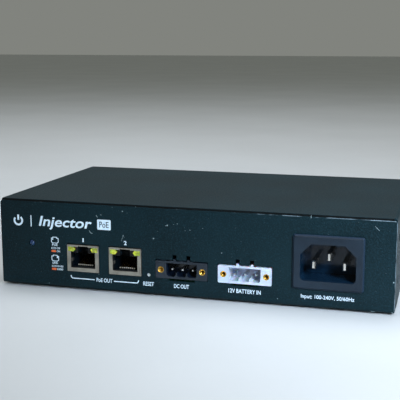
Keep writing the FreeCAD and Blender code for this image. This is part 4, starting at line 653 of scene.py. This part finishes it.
@dataclass
class FlatArt:
    """Thin closed shapes on the front panel, drawn in millimetres from its left edge and the floor.

    Attributes:
        left: where the panel starts, in metres.
        face: the panel's front, in metres.
        proud: millimetres that the shapes stand in front of the panel.
        sunk: millimetres that they reach into it.
        shape: the shapes drawn so far.
    """

    left: float
    face: float
    proud: float = 0.03
    sunk: float = 0.02
    shape: bmesh.types.BMesh = field(default_factory=bmesh.new)

    def place(self, across: float, up: float, out: float) -> Vector:
        """A point on the panel.

        Args:
            across: millimetres from the panel's left edge.
            up: millimetres above the floor.
            out: millimetres in front of the panel.

        Returns:
            The point in metres.
        """
        return Vector((self.left + across * MM, self.face - out * MM, up * MM))

    def patch(self, corners: list[tuple[float, float]]) -> None:
        """A filled shape with straight sides between its corners.

        Args:
            corners: millimetres across and up, in order round the shape.
        """
        rings = [[self.shape.verts.new(self.place(across, up, out)) for across, up in corners]
                 for out in (self.proud, -self.sunk)]
        self.shape.faces.new(rings[0])
        self.shape.faces.new(rings[1][::-1])
        for index in range(len(corners)):
            following = (index + 1) % len(corners)
            self.shape.faces.new([rings[0][index], rings[0][following], rings[1][following],
                                  rings[1][index]])

    def rounded(self, left: float, right: float, low: float, high: float, radius: float) -> None:
        """A filled rectangle with round corners.

        Args:
            left: left side in millimetres.
            right: right side.
            low: lower side.
            high: upper side.
            radius: corner radius.
        """
        corners = []
        sides = (left + radius, right - radius)
        levels = (low + radius, high - radius)
        for quarter, (side, level) in enumerate(((1, 1), (0, 1), (0, 0), (1, 0))):
            for step in range(5):
                angle = math.radians(90 * quarter + 22.5 * step)
                corners.append((sides[side] + radius * math.cos(angle),
                                levels[level] + radius * math.sin(angle)))
        self.patch(corners)

    def stroke(self, points: list[tuple[float, float]], width: float, closed: bool = False) -> None:
        """A line of even width through some points.

        Args:
            points: millimetres across and up.
            width: the line's width in millimetres.
            closed: whether the last point joins the first.
        """
        line = [Vector(point) for point in points]
        count = len(line)
        sides = []
        for index, point in enumerate(line):
            before = line[index - 1] if index or closed else point
            after = line[(index + 1) % count] if index < count - 1 or closed else point
            first = (point - before).normalized() if point != before else (after - point).normalized()
            second = (after - point).normalized() if after != point else first
            normal = Vector((-(first.y + second.y), first.x + second.x)).normalized()
            spread = width / 2 / max(0.5, normal.dot(Vector((-first.y, first.x))))
            sides.append((point + normal * spread, point - normal * spread))
        outer = [[self.shape.verts.new(self.place(*side[which], out)) for side in sides]
                 for out in (self.proud, -self.sunk) for which in (0, 1)]
        front_left, front_right, back_left, back_right = outer
        last = count if closed else count - 1
        for index in range(last):
            following = (index + 1) % count
            for ring_a, ring_b in ((front_left, front_right), (front_right, back_right),
                                   (back_right, back_left), (back_left, front_left)):
                self.shape.faces.new([ring_a[index], ring_a[following], ring_b[following],
                                      ring_b[index]])
        if not closed:
            for index in (0, count - 1):
                self.shape.faces.new([ring[index] for ring in (front_left, front_right, back_right,
                                                               back_left)])

    def words(self, text: str, left: float, right: float, low: float, high: float,
              weight: float = 0.02, slant: float = 0.0) -> None:
        """Lettering stretched to fill a box.

        Args:
            text: what it says.
            left: left side of the box in millimetres.
            right: right side.
            low: foot of its lowest letter.
            high: top of its highest letter.
            weight: how much the strokes are thickened, as a share of the letter size.
            slant: how far the letters lean.
        """
        curve = bpy.data.curves.new("lettering", "FONT")
        curve.body = text
        curve.offset = weight
        curve.shear = slant
        curve.extrude = 0.5
        curve.resolution_u = 3
        source = bpy.data.objects.new("lettering", curve)
        bpy.context.scene.collection.objects.link(source)
        mesh = evaluated_mesh(source)
        bpy.data.objects.remove(source)
        spots = [vertex.co for vertex in mesh.vertices]
        low_x, high_x = min(spot.x for spot in spots), max(spot.x for spot in spots)
        low_y, high_y = min(spot.y for spot in spots), max(spot.y for spot in spots)
        for vertex in mesh.vertices:
            across = left + (right - left) * (vertex.co.x - low_x) / (high_x - low_x)
            up = low + (high - low) * (vertex.co.y - low_y) / (high_y - low_y)
            vertex.co = self.place(across, up, self.proud if vertex.co.z > 0 else -self.sunk)
        part = bmesh.new()
        part.from_mesh(mesh)
        bmesh.ops.remove_doubles(part, verts=part.verts[:], dist=1e-7)
        bmesh.ops.recalc_face_normals(part, faces=part.faces[:])
        part.to_mesh(mesh)
        part.free()
        self.shape.from_mesh(mesh)
        bpy.data.meshes.remove(mesh)

    def finish(self, name: str, finish: Finish) -> None:
        """Make one piece of all the shapes.

        Args:
            name: the piece's name.
            finish: what it is made of.
        """
        finished_piece(name, closed_mesh(self.shape, name), finish, "case")


# Geometry trees


class TreeSocket(Enum):
    """Kinds of inputs that a geometry tree has."""

    LENGTH = "NodeSocketFloat"
    COUNT = "NodeSocketInt"
    POINT = "NodeSocketVector"
    OBJECT = "NodeSocketObject"
    MATERIAL = "NodeSocketMaterial"


@dataclass
class GrownGeometry:
    """A geometry tree that is built here, run once and turned into a plain mesh.

    Attributes:
        name: the tree's name.
        inputs: for each named input, its kind and its value.
    """

    name: str
    inputs: dict[str, tuple[TreeSocket, object]]

    def __post_init__(self) -> None:
        """Start the tree with its sockets."""
        self.tree = bpy.data.node_groups.new(self.name, "GeometryNodeTree")
        for title, (kind, _) in self.inputs.items():
            self.tree.interface.new_socket(name=title, in_out="INPUT", socket_type=kind.value)
        self.tree.interface.new_socket(name="Geometry", in_out="OUTPUT", socket_type="NodeSocketGeometry")
        self.given = add(self.tree, "NodeGroupInput").outputs

    def end(self, instances: Socket | bpy.types.Node) -> None:
        """Close the tree: real geometry with its material.

        Args:
            instances: the geometry to be made real.
        """
        real = add(self.tree, "GeometryNodeRealizeInstances", [instances])
        painted = add(self.tree, "GeometryNodeSetMaterial",
                      {"Geometry": real, "Material": self.given["Material"]})
        add(self.tree, "NodeGroupOutput", [painted])

    def mesh(self) -> bpy.types.Mesh:
        """Run the tree once.

        Returns:
            A plain mesh.
        """
        holder = bpy.data.objects.new(self.name, bpy.data.meshes.new(self.name))
        bpy.context.scene.collection.objects.link(holder)
        modifier = holder.modifiers.new(self.name, "NODES")
        modifier.node_group = self.tree
        for item in self.tree.interface.items_tree:
            if item.in_out == "INPUT":
                modifier[item.identifier] = self.inputs[item.name][1]
        mesh = evaluated_mesh(holder)
        holder.modifiers.clear()
        bpy.data.objects.remove(holder)
        return mesh


# Sub-assemblies


@dataclass
class FrontPanelPrint:
    """Screen printing on the front panel: a mark, the indicator key and the labels.

    Places are millimetres from the panel's left edge and from the floor, and a box is its left,
    right, low and high side.

    Attributes:
        mark_middle: middle of the power symbol's ring.
        mark_radius: the ring's radius.
        mark_line: width of its line.
        mark_bar: foot and top of its upright bar, above the ring's middle.
        divider: the upright line beside the mark: its place, foot and top.
        name_box: box of the name of the device's kind.
        chip_box: box of the filled chip.
        chip_words_box: box of the words in it.
        key_left: left side of the indicator key.
        key_jack: outline of a small jack in it, from its lower left corner.
        key_rows: for each jack in it, its foot, the lit corner's place, its words and their right side.
        line: width of the bracket's line.
        gap: half the bracket's gap.
        letter: height of the labels' capitals.
        weight: how much the small words' strokes are thickened.
        label_low: foot of the labels.
        labels: for each label under a connector, its words, the CAD node it belongs to and its width.
        rating: words, CAD node and width of the inlet's label.
    """

    mark_middle: tuple[float, float] = (9.6, 33.1)
    mark_radius: float = 2.1
    mark_line: float = 0.95
    mark_bar: tuple[float, float] = (0.2, 2.9)
    divider: tuple[float, float, float] = (16.5, 30.4, 36.0)
    name_box: tuple[float, float, float, float] = (20.6, 48.6, 29.4, 36.0)
    chip_box: tuple[float, float, float, float] = (51.3, 58.3, 30.9, 35.9)
    chip_words_box: tuple[float, float, float, float] = (52.4, 57.2, 32.0, 34.9)
    key_left: float = 27.1
    key_jack: tuple = ((0.0, 0.5), (0.6, 0.0), (3.0, 0.0), (3.6, 0.5), (3.6, 2.4), (2.8, 2.4),
                       (2.8, 2.9), (0.8, 2.9), (0.8, 2.4), (0.0, 2.4))
    key_rows: tuple = ((17.9, 0.35, "PoE", "OFF", "ON", 31.6), (8.9, 2.65, "LINK", "10/100", "1000", 33.0))
    line: float = 0.45
    gap: float = 5.1
    letter: float = 2.0
    weight: float = 0.015
    label_low: float = 5.0
    labels: tuple = (("RESET", "reset_plunger", 5.4), ("DC OUT", "dc_out_housing", 7.4),
                     ("12V BATTERY IN", "battery_housing", 15.3))
    rating: tuple[str, str, float] = ("Input: 100-240V, 50/60Hz", "ac_inlet_housing", 24.1)

    def middle(self, node: str) -> float:
        """Millimetres from the panel's left edge to the middle of a CAD node."""
        low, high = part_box(node)
        return ((low.x + high.x) / 2 - self.corner.x) / MM

    def label(self, white: FlatArt, text: str, middle: float, width: float) -> None:
        """One label on the line under the connectors.

        Args:
            white: art for the white ink.
            text: what it says.
            middle: where its middle is.
            width: how wide it is.
        """
        white.words(text, middle - width / 2, middle + width / 2, self.label_low,
                    self.label_low + self.letter, weight=self.weight)

    def mark(self, white: FlatArt, dark: FlatArt) -> None:
        """Power symbol, divider, the kind of device and a filled chip.

        Args:
            white: art for the white ink.
            dark: art for the dark ink.
        """
        across, up = self.mark_middle
        ring = [(across + self.mark_radius * math.sin(math.radians(angle)),
                 up + self.mark_radius * math.cos(math.radians(angle))) for angle in range(38, 323, 15)]
        white.stroke(ring, self.mark_line)
        white.stroke([(across, up + end) for end in self.mark_bar], self.mark_line)
        place, foot, top = self.divider
        white.stroke([(place, foot), (place, top)], 0.5)
        white.words("Injector", *self.name_box, weight=0.018, slant=0.2)
        white.rounded(*self.chip_box, 0.5)
        dark.words("PoE", *self.chip_words_box, weight=0.01)

    def indicator_key(self, white: FlatArt, orange: FlatArt) -> None:
        """Two small jack outlines, each with one light marked, and what the colours mean.

        Args:
            white: art for the white ink.
            orange: art for the orange ink.
        """
        left = self.key_left
        for base, lit, title, first, second, reach in self.key_rows:
            low = base + 5.0
            white.stroke([(left + across, low + up) for across, up in self.key_jack], 0.32, closed=True)
            lamp = left + lit
            white.patch([(lamp, low + 1.5), (lamp + 0.6, low + 1.5), (lamp + 0.6, low + 2.1),
                         (lamp, low + 2.1)])
            white.words(title, left + 0.3, left + 3.2, base + 3.55, base + 4.65, weight=self.weight)
            white.stroke([(left, base + 2.05), (left + 2.2, base + 2.05), (left + 2.2, base + 2.75),
                          (left, base + 2.75)], 0.16, closed=True)
            white.words(first, left + 2.7, reach, base + 1.95, base + 2.9, weight=self.weight)
            orange.rounded(left - 0.1, left + 2.3, base + 0.45, base + 1.45, 0.2)
            white.words(second, left + 2.7, reach - 0.1, base + 0.45, base + 1.4, weight=self.weight)

    def port_numbers(self, white: FlatArt) -> None:
        """A number above each network jack.

        Args:
            white: art for the white ink.
        """
        for number, width in ((1, 0.7), (2, 1.35)):
            middle = self.middle(f"jack_{number}_shield") + 0.2
            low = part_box(f"jack_{number}_shield")[1].z / MM + 1.5
            white.words(str(number), middle - width / 2, middle + width / 2, low, low + self.letter,
                        weight=0.02)

    def bracket(self, white: FlatArt) -> None:
        """The line that joins the two network outputs, broken by their label.

        Args:
            white: art for the white ink.
        """
        left = (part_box("jack_1_shield")[0].x - self.corner.x) / MM + 1.6
        right = (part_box("jack_2_shield")[1].x - self.corner.x) / MM - 1.5
        level = self.label_low + 0.95
        middle = (left + right) / 2
        bend = [(0.0, 1.45), (0.08, 0.95), (0.3, 0.42), (0.7, 0.08), (1.2, 0.0)]
        for end, way, stop in ((left, 1, middle - self.gap), (right, -1, middle + self.gap - 0.2)):
            white.stroke([(end + way * across, level + up) for across, up in bend] + [(stop, level)],
                         self.line)
        self.label(white, "PoE OUT", middle, 2 * (self.gap - 1.0))

    def connector_labels(self, white: FlatArt) -> None:
        """The labels under the connectors.

        Args:
            white: art for the white ink.
        """
        for text, node, width in self.labels:
            self.label(white, text, self.middle(node), width)
        text, node, width = self.rating
        middle = self.middle(node)
        white.words(text, middle - width / 2, middle + width / 2, self.label_low - 0.35,
                    self.label_low + self.letter, weight=0.01)

    def build(self) -> None:
        """Print every mark on the panel."""
        self.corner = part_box("base_chassis")[0]
        white, orange, dark = (FlatArt(self.corner.x, self.corner.y) for _ in range(3))
        dark.proud = 0.05
        self.mark(white, dark)
        self.indicator_key(white, orange)
        self.port_numbers(white)
        self.bracket(white)
        self.connector_labels(white)
        white.finish("panel_print_white", WHITE_INK)
        orange.finish("panel_print_orange", ORANGE_INK)
        dark.finish("panel_print_dark", DARK_INK)


@dataclass
class FrontPanelWear:
    """Scrapes and chips in the panel's coat.

    Attributes:
        scrapes: for each scrape, its points in millimetres and its width.
        specks: for each speck, its place and radius.
    """

    scrapes: tuple = (
        (((47.1, 30.3), (47.6, 29.4), (48.1, 29.0), (48.9, 28.9)), 0.3),
        (((50.9, 37.9), (51.2, 37.4), (51.6, 36.9)), 0.35),
        (((63.6, 26.0), (64.1, 27.6), (64.5, 29.2)), 0.14),
        (((64.5, 29.2), (65.0, 27.8)), 0.12),
        (((182.4, 40.2), (183.3, 39.3), (184.3, 38.3)), 0.2),
        (((154.2, 43.5), (154.1, 42.3)), 0.3),
        (((182.0, 1.5), (182.6, 1.35), (183.4, 1.4)), 0.3),
    )
    specks: tuple = (
        (53.3, 38.2, 0.3), (86.6, 35.0, 0.42), (85.9, 34.8, 0.2), (64.3, 40.5, 0.34), (97.7, 33.4, 0.24),
        (95.4, 33.0, 0.18), (91.6, 36.0, 0.2), (89.8, 35.6, 0.16), (113.0, 23.5, 0.26), (79.8, 28.3, 0.34),
        (139.5, 3.8, 0.24), (66.7, 39.8, 0.16), (71.0, 43.0, 0.2), (25.3, 2.4, 0.2), (51.7, 8.9, 0.2),
        (191.0, 1.6, 0.3), (191.3, 15.4, 0.34), (59.2, 42.2, 0.14), (103.9, 34.6, 0.14),
    )

    def build(self) -> None:
        """Cut the scrapes and specks as one thin piece."""
        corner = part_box("base_chassis")[0]
        art = FlatArt(corner.x, corner.y, proud=0.015)
        for points, width in self.scrapes:
            art.stroke(list(points), width)
        for across, up, radius in self.specks:
            edge = [(across + radius * (1 + 0.3 * math.sin(3 * turn + across)) * math.cos(turn),
                     up + radius * (0.8 + 0.25 * math.cos(2 * turn + up)) * math.sin(turn))
                    for turn in (math.tau * step / 9 for step in range(9))]
            art.patch(edge)
        art.finish("panel_scrapes", SCRAPED_COAT)


@dataclass
class DustField:
    """Fine specks of dust, scattered over the outward face of a sheet.

    Attributes:
        name: the piece's name.
        node: the CAD node that they lie on.
        facing: the direction that the face points in.
        level: how far along that direction the face lies, in metres.
        density: specks in a square metre.
        size: a speck's radius in millimetres.
        seed: seed of the scatter.
    """

    name: str
    node: str
    facing: tuple[float, float, float]
    level: float
    density: float
    size: float
    seed: int

    def build(self) -> None:
        """Scatter the specks and keep them as one mesh."""
        grown = GrownGeometry(self.name, {
            "Sheet": (TreeSocket.OBJECT, frame["nodes"][self.node]),
            "Facing": (TreeSocket.POINT, self.facing),
            "Level": (TreeSocket.LENGTH, self.level),
            "Density": (TreeSocket.LENGTH, self.density),
            "Speck radius": (TreeSocket.LENGTH, self.size * MM),
            "Seed": (TreeSocket.COUNT, self.seed),
            "Material": (TreeSocket.MATERIAL, DUST.material()),
        })
        tree, given = grown.tree, grown.given
        sheet = add(tree, "GeometryNodeObjectInfo", {"Object": given["Sheet"]}).outputs["Geometry"]
        turned, reached = (
            add(tree, "ShaderNodeVectorMath", [add(tree, kind), given["Facing"]],
                operation="DOT_PRODUCT").outputs["Value"]
            for kind in ("GeometryNodeInputNormal", "GeometryNodeInputPosition"))
        near = add(tree, MATH, [given["Level"], 0.1 * MM], operation="SUBTRACT")
        faces_out = add(tree, MATH, [turned, 0.995], operation="GREATER_THAN")
        lies_near = add(tree, MATH, [reached, near], operation="GREATER_THAN")
        points = add(tree, "GeometryNodeDistributePointsOnFaces", {
            "Mesh": sheet, "Selection": add(tree, MATH, [faces_out, lies_near], operation="MULTIPLY"),
            "Density": given["Density"], "Seed": given["Seed"]})
        speck = add(tree, "GeometryNodeMeshIcoSphere",
                    {"Radius": given["Speck radius"], "Subdivisions": 1})
        flat = add(tree, "FunctionNodeRandomValue",
                   {"Min": (0.35, 0.5, 0.12), "Max": (1.5, 1.0, 0.3), "Seed": given["Seed"]},
                   data_type="FLOAT_VECTOR")
        placed = add(tree, "GeometryNodeInstanceOnPoints", {
            "Points": points, "Instance": speck, "Rotation": points.outputs["Rotation"],
            "Scale": flat})
        grown.end(placed)
        finished_piece(self.name, grown.mesh(), DUST, "case")


@dataclass
class GroundFingers:
    """Spring fingers of a jack's shield that bulge into its mouth from both sides.

    Attributes:
        number: the jack's number.
        width: a finger's height in millimetres.
        rise: its middle above the jack's underside.
        gauge: thickness of the strip.
        reach: how far it bulges inwards.
        inset: from the shield's front to its root.
        narrowing: share of its height that it loses in each millimetre of depth.
        half_mouth: half the width of the shield's mouth.
        profile: for each bend, its depth and its share of the bulge.
    """

    number: int
    width: float = 1.7
    rise: float = 5.7
    gauge: float = 0.16
    reach: float = 0.62
    inset: float = 0.1
    narrowing: float = 0.06
    half_mouth: float = 6.35
    profile: tuple = ((0.02, 0.0), (0.35, 0.35), (0.9, 0.85), (1.6, 1.0), (2.5, 0.8), (3.6, 0.35),
                      (4.6, 0.02))

    def build(self) -> None:
        """Bend both fingers and keep them as one piece."""
        low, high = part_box(f"jack_{self.number}_shield")
        middle = (low.x + high.x) / 2
        shape = bmesh.new()
        for side in (-1, 1):
            rows = []
            for depth, bulge in self.profile:
                inner = middle + side * (self.half_mouth - self.reach * bulge) * MM
                outer = inner + side * self.gauge * MM
                y = low.y + (depth + self.inset) * MM
                base = low.z + self.rise * MM
                taper = 0.5 * self.width * MM * (1 - self.narrowing * depth)
                rows.append([shape.verts.new((x, y, z)) for x, z in (
                    (inner, base - taper), (inner, base + taper), (outer, base + taper),
                    (outer, base - taper))])
            for before, after in zip(rows, rows[1:]):
                for index in range(4):
                    following = (index + 1) % 4
                    shape.faces.new([before[index], before[following], after[following], after[index]])
            shape.faces.new(rows[0])
            shape.faces.new(rows[-1])
        name = f"jack_{self.number}_ground_fingers"
        finished_piece(name, closed_mesh(shape, name), FINISHES[Slot.NICKEL_SHIELD], "case")


@dataclass
class InsertThreads:
    """Screw threads inside the brass inserts of a power header.

    Attributes:
        node: the CAD node of the two inserts.
        bore: the bore's radius in millimetres.
        pitch: the thread's pitch.
        ridge: radius of its ridge.
        end: plain length at each end of the bore.
    """

    node: str
    bore: float = 1.05
    pitch: float = 0.45
    ridge: float = 0.13
    end: float = 0.3

    def build(self) -> None:
        """Wind one ridge and set it in each insert."""
        low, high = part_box(self.node)
        length = high.y - low.y - 2 * self.end * MM
        spread = (high.x - low.x) / 2 - (high.z - low.z) / 2
        middle = (low + high) / 2
        grown = GrownGeometry(self.node + "_threads", {
            "Radius": (TreeSocket.LENGTH, self.bore * MM),
            "Length": (TreeSocket.LENGTH, length),
            "Turns": (TreeSocket.LENGTH, length / (self.pitch * MM)),
            "Ridge": (TreeSocket.LENGTH, self.ridge * MM),
            "Start": (TreeSocket.POINT, (middle.x - spread, low.y + self.end * MM, middle.z)),
            "End": (TreeSocket.POINT, (middle.x + spread, low.y + self.end * MM, middle.z)),
            "Material": (TreeSocket.MATERIAL, FINISHES[Slot.BRASS_INSERT].material()),
        })
        tree, given = grown.tree, grown.given
        spiral = add(tree, "GeometryNodeCurveSpiral", {
            "Resolution": 14, "Rotations": given["Turns"], "Start Radius": given["Radius"],
            "End Radius": given["Radius"], "Height": given["Length"]})
        section = add(tree, "GeometryNodeCurvePrimitiveCircle", {"Resolution": 4, "Radius": given["Ridge"]})
        ridge = add(tree, "GeometryNodeCurveToMesh", {
            "Curve": spiral, "Profile Curve": section, "Fill Caps": True})
        ends = add(tree, "GeometryNodeMeshLine", {
            "Count": 2, "Start Location": given["Start"], "Offset": given["End"]}, mode="END_POINTS")
        placed = add(tree, "GeometryNodeInstanceOnPoints", {
            "Points": ends, "Instance": ridge, "Rotation": (-math.pi / 2, 0.0, 0.0)})
        grown.end(placed)
        finished_piece(self.node + "_threads", grown.mesh(), FINISHES[Slot.BRASS_INSERT], "case")


@dataclass
class ContactBends:
    """Rolled front ends of a network jack's eight contact springs.

    Attributes:
        number: the jack's number.
        count: how many springs there are.
        pitch: millimetres from one spring to the next.
        radius: a rolled end's radius.
        width: a spring's width.
        rise: the springs' ends above the board.
        inset: from the springs' front to the middle of their rolled ends.
    """

    number: int
    count: int = 8
    pitch: float = 1.02
    radius: float = 0.34
    width: float = 0.52
    rise: float = 2.72
    inset: float = 0.1

    def build(self) -> None:
        """Roll one end and repeat it along the row."""
        low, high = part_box(f"jack_{self.number}_contacts")
        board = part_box("main_board")[1].z
        half_row = (self.count - 1) / 2 * self.pitch * MM
        start = ((low.x + high.x) / 2 - half_row, low.y + self.inset * MM, board + self.rise * MM)
        name = f"jack_{self.number}_contact_bends"
        grown = GrownGeometry(name, {
            "Count": (TreeSocket.COUNT, self.count),
            "Pitch": (TreeSocket.POINT, (self.pitch * MM, 0.0, 0.0)),
            "Start": (TreeSocket.POINT, start),
            "Radius": (TreeSocket.LENGTH, self.radius * MM),
            "Width": (TreeSocket.LENGTH, self.width * MM),
            "Material": (TreeSocket.MATERIAL, WORN_GILT.material()),
        })
        tree, given = grown.tree, grown.given
        row = add(tree, "GeometryNodeMeshLine", {
            "Count": given["Count"], "Start Location": given["Start"], "Offset": given["Pitch"]})
        bend = add(tree, "GeometryNodeMeshCylinder", {
            "Vertices": 14, "Radius": given["Radius"], "Depth": given["Width"]})
        placed = add(tree, "GeometryNodeInstanceOnPoints", {
            "Points": row, "Instance": bend, "Rotation": (0.0, math.pi / 2, 0.0)})
        grown.end(placed)
        finished_piece(name, grown.mesh(), WORN_GILT, "case")


@dataclass
class RingWinding:
    """Turns of wire wound round part of a ring core, in place of a plain CAD layer.

    Attributes:
        node: the CAD node of the wire layer.
        core: the CAD node of the ring.
        eye: the ring's inner radius in millimetres.
        wire: the wire's radius.
        corner: radius of a turn's corners.
        grip: how much wider and higher a turn is than the core's section, in wire radii.
        arcs: start and sweep of each group of turns, in degrees.
        turns: how many turns each group has.
    """

    node: str
    core: str
    arcs: tuple[tuple[float, float], ...]
    turns: int
    eye: float = 5.0
    wire: float = 0.5
    corner: float = 1.2
    grip: float = 2.2

    def build(self) -> None:
        """Wind every group and keep the turns as one piece."""
        low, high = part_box(self.core)
        middle = (low + high) / 2
        outer = (high.x - low.x) / 2
        height = high.z - low.z
        inner = self.eye * MM
        grown = GrownGeometry(self.node + "_turns", {
            "Middle": (TreeSocket.POINT, middle),
            "Section width": (TreeSocket.LENGTH, outer - inner + self.grip * self.wire * MM),
            "Section height": (TreeSocket.LENGTH, height + self.grip * self.wire * MM),
            "Ring radius": (TreeSocket.POINT, ((outer + inner) / 2, 0.0, 0.0)),
            "Corner": (TreeSocket.LENGTH, self.corner * MM),
            "Wire": (TreeSocket.LENGTH, self.wire * MM),
            "Turns": (TreeSocket.COUNT, self.turns),
            "Material": (TreeSocket.MATERIAL, FINISHES[Slot.ENAMELLED_COPPER].material()),
        })
        tree, given = grown.tree, grown.given
        square = add(tree, "GeometryNodeCurvePrimitiveQuadrilateral", {
            "Width": given["Section width"], "Height": given["Section height"]})
        loop = add(tree, "GeometryNodeFilletCurve", {
            "Curve": square, "Radius": given["Corner"], "Count": 4, "Limit Radius": True}, mode="POLY")
        section = add(tree, "GeometryNodeCurvePrimitiveCircle", {"Resolution": 8, "Radius": given["Wire"]})
        turn = add(tree, "GeometryNodeCurveToMesh", {"Curve": loop, "Profile Curve": section})
        upright = add(tree, "GeometryNodeTransform", {
            "Geometry": turn, "Translation": given["Ring radius"], "Rotation": (math.pi / 2, 0.0, 0.0)})
        last = add(tree, MATH, [given["Turns"], 1.0], operation="SUBTRACT")
        share = add(tree, MATH, [add(tree, "GeometryNodeInputIndex"), last], operation="DIVIDE")
        groups = add(tree, "GeometryNodeJoinGeometry")
        for start, sweep in self.arcs:
            angle = add(tree, MATH, [share, math.radians(sweep), math.radians(start)],
                        operation="MULTIPLY_ADD")
            turned = add(tree, "ShaderNodeCombineXYZ", {2: angle})
            points = add(tree, "GeometryNodePoints",
                         {"Count": given["Turns"], "Position": given["Middle"]})
            placed = add(tree, "GeometryNodeInstanceOnPoints", {
                "Points": points, "Instance": upright, "Rotation": turned})
            tree.links.new(placed.outputs[0], groups.inputs[0])
        grown.end(groups)
        piece = finished_piece(self.node + "_turns", grown.mesh(), FINISHES[Slot.ENAMELLED_COPPER],
                               "case")
        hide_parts(self.node)


# Scene


@dataclass
class Studio:
    """Floor, soft light and camera.

    Attributes:
        eye: the camera's place in metres.
        look: the direction that it looks in.
        lens: focal length in millimetres.
        sensor: width of the sensor in millimetres.
        sky: sRGB colour of the light from all round.
        sky_strength: how strong that light is.
    """

    eye: tuple[float, float, float] = (0.11854, -0.44532, 0.12083)
    look: tuple[float, float, float] = (-0.2729, 0.9454, -0.1778)
    lens: float = 80.2
    sensor: float = 36.0
    sky: str = "cdd0c8"
    sky_strength: float = 0.36

    def floor(self) -> None:
        """A wide plain floor."""
        shape = bmesh.new()
        bmesh.ops.create_grid(shape, x_segments=8, y_segments=8, size=6.0)
        mesh = bpy.data.meshes.new("studio_floor")
        shape.to_mesh(mesh)
        shape.free()
        mesh.materials.append(STAGE_PAPER.material())
        floor = bpy.data.objects.new("studio_floor", mesh)
        bpy.context.scene.collection.objects.link(floor)

    def lamp(self, name: str, place: tuple[float, float, float], aim: tuple[float, float, float],
             size: float, power: float, colour: str, spread: float) -> None:
        """A soft square lamp.

        Args:
            name: its name.
            place: where it hangs.
            aim: the point that it faces.
            size: its side in metres.
            power: its power in watts.
            colour: its sRGB colour.
            spread: the angle that its light fans out to, in degrees.
        """
        data = bpy.data.lights.new(name, "AREA")
        data.shape = "SQUARE"
        data.size = size
        data.energy = power
        data.color = linear(colour)[:3]
        data.spread = math.radians(spread)
        lamp = bpy.data.objects.new(name, data)
        lamp.location = place
        lamp.visible_camera = False
        lamp.rotation_euler = (Vector(aim) - Vector(place)).to_track_quat("-Z", "Y").to_euler()
        bpy.context.scene.collection.objects.link(lamp)

    def build(self) -> None:
        """Set the floor, the light and the camera."""
        scene = bpy.context.scene
        self.floor()
        world = bpy.data.worlds.new("studio")
        world.use_nodes = True
        world.node_tree.nodes.clear()
        sky = add(world.node_tree, "ShaderNodeBackground",
                  {"Color": linear(self.sky), "Strength": self.sky_strength})
        add(world.node_tree, "ShaderNodeOutputWorld", {"Surface": sky})
        scene.world = world
        self.lamp("overhead", (-0.1, 0.2, 1.1), (0.0, 0.0, 0.0), 0.9, 11.0, "f2f6ff", 180.0)
        self.lamp("right_front", (0.42, -0.46, 0.32), (0.12, -0.05, 0.02), 0.22, 0.6, "dcebff", 46.0)
        scene.view_settings.view_transform = "Standard"
        data = bpy.data.cameras.new("camera")
        data.sensor_width = self.sensor
        data.lens = self.lens
        data.clip_start = 0.01
        camera = bpy.data.objects.new("camera", data)
        camera.location = self.eye
        camera.rotation_euler = Vector(self.look).to_track_quat("-Z", "Y").to_euler()
        scene.collection.objects.link(camera)
        scene.camera = camera


def dress_frame() -> None:
    """Give every CAD node the finish of its slot."""
    for entry in frame["record"]["subparts"]:
        finish = FINISHES[Slot(entry["material_slot"])]
        node = frame["nodes"][entry["node"]]
        if not node.material_slots:
            node.data.materials.append(finish.material())
        for place in node.material_slots:
            place.material = finish.material()
        log.info("%s: %s", entry["node"], finish.name)


def main() -> None:
    """Build the scene round the frame."""
    logging.basicConfig(level=logging.INFO, format="%(message)s")
    Studio().build()
    dress_frame()
    FrontPanelPrint().build()
    FrontPanelWear().build()
    front = -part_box("base_chassis")[0].y
    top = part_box("top_cover")[1].z
    DustField("panel_dust", "base_chassis", (0.0, -1.0, 0.0), front,
              density=26000.0, size=0.09, seed=5).build()
    DustField("cover_dust", "top_cover", (0.0, 0.0, 1.0), top,
              density=16000.0, size=0.11, seed=8).build()
    for number in (1, 2):
        GroundFingers(number).build()
        ContactBends(number).build()
    for node in ("dc_out_inserts", "battery_inserts"):
        InsertThreads(node).build()
    RingWinding("emi_choke_windings", "emi_choke_core", ((8.0, 104.0), (188.0, 104.0)),
                turns=9).build()
    RingWinding("output_inductor_winding", "output_inductor_core", ((6.0, 288.0),),
                turns=22).build()


if __name__ == "__main__":
    main()
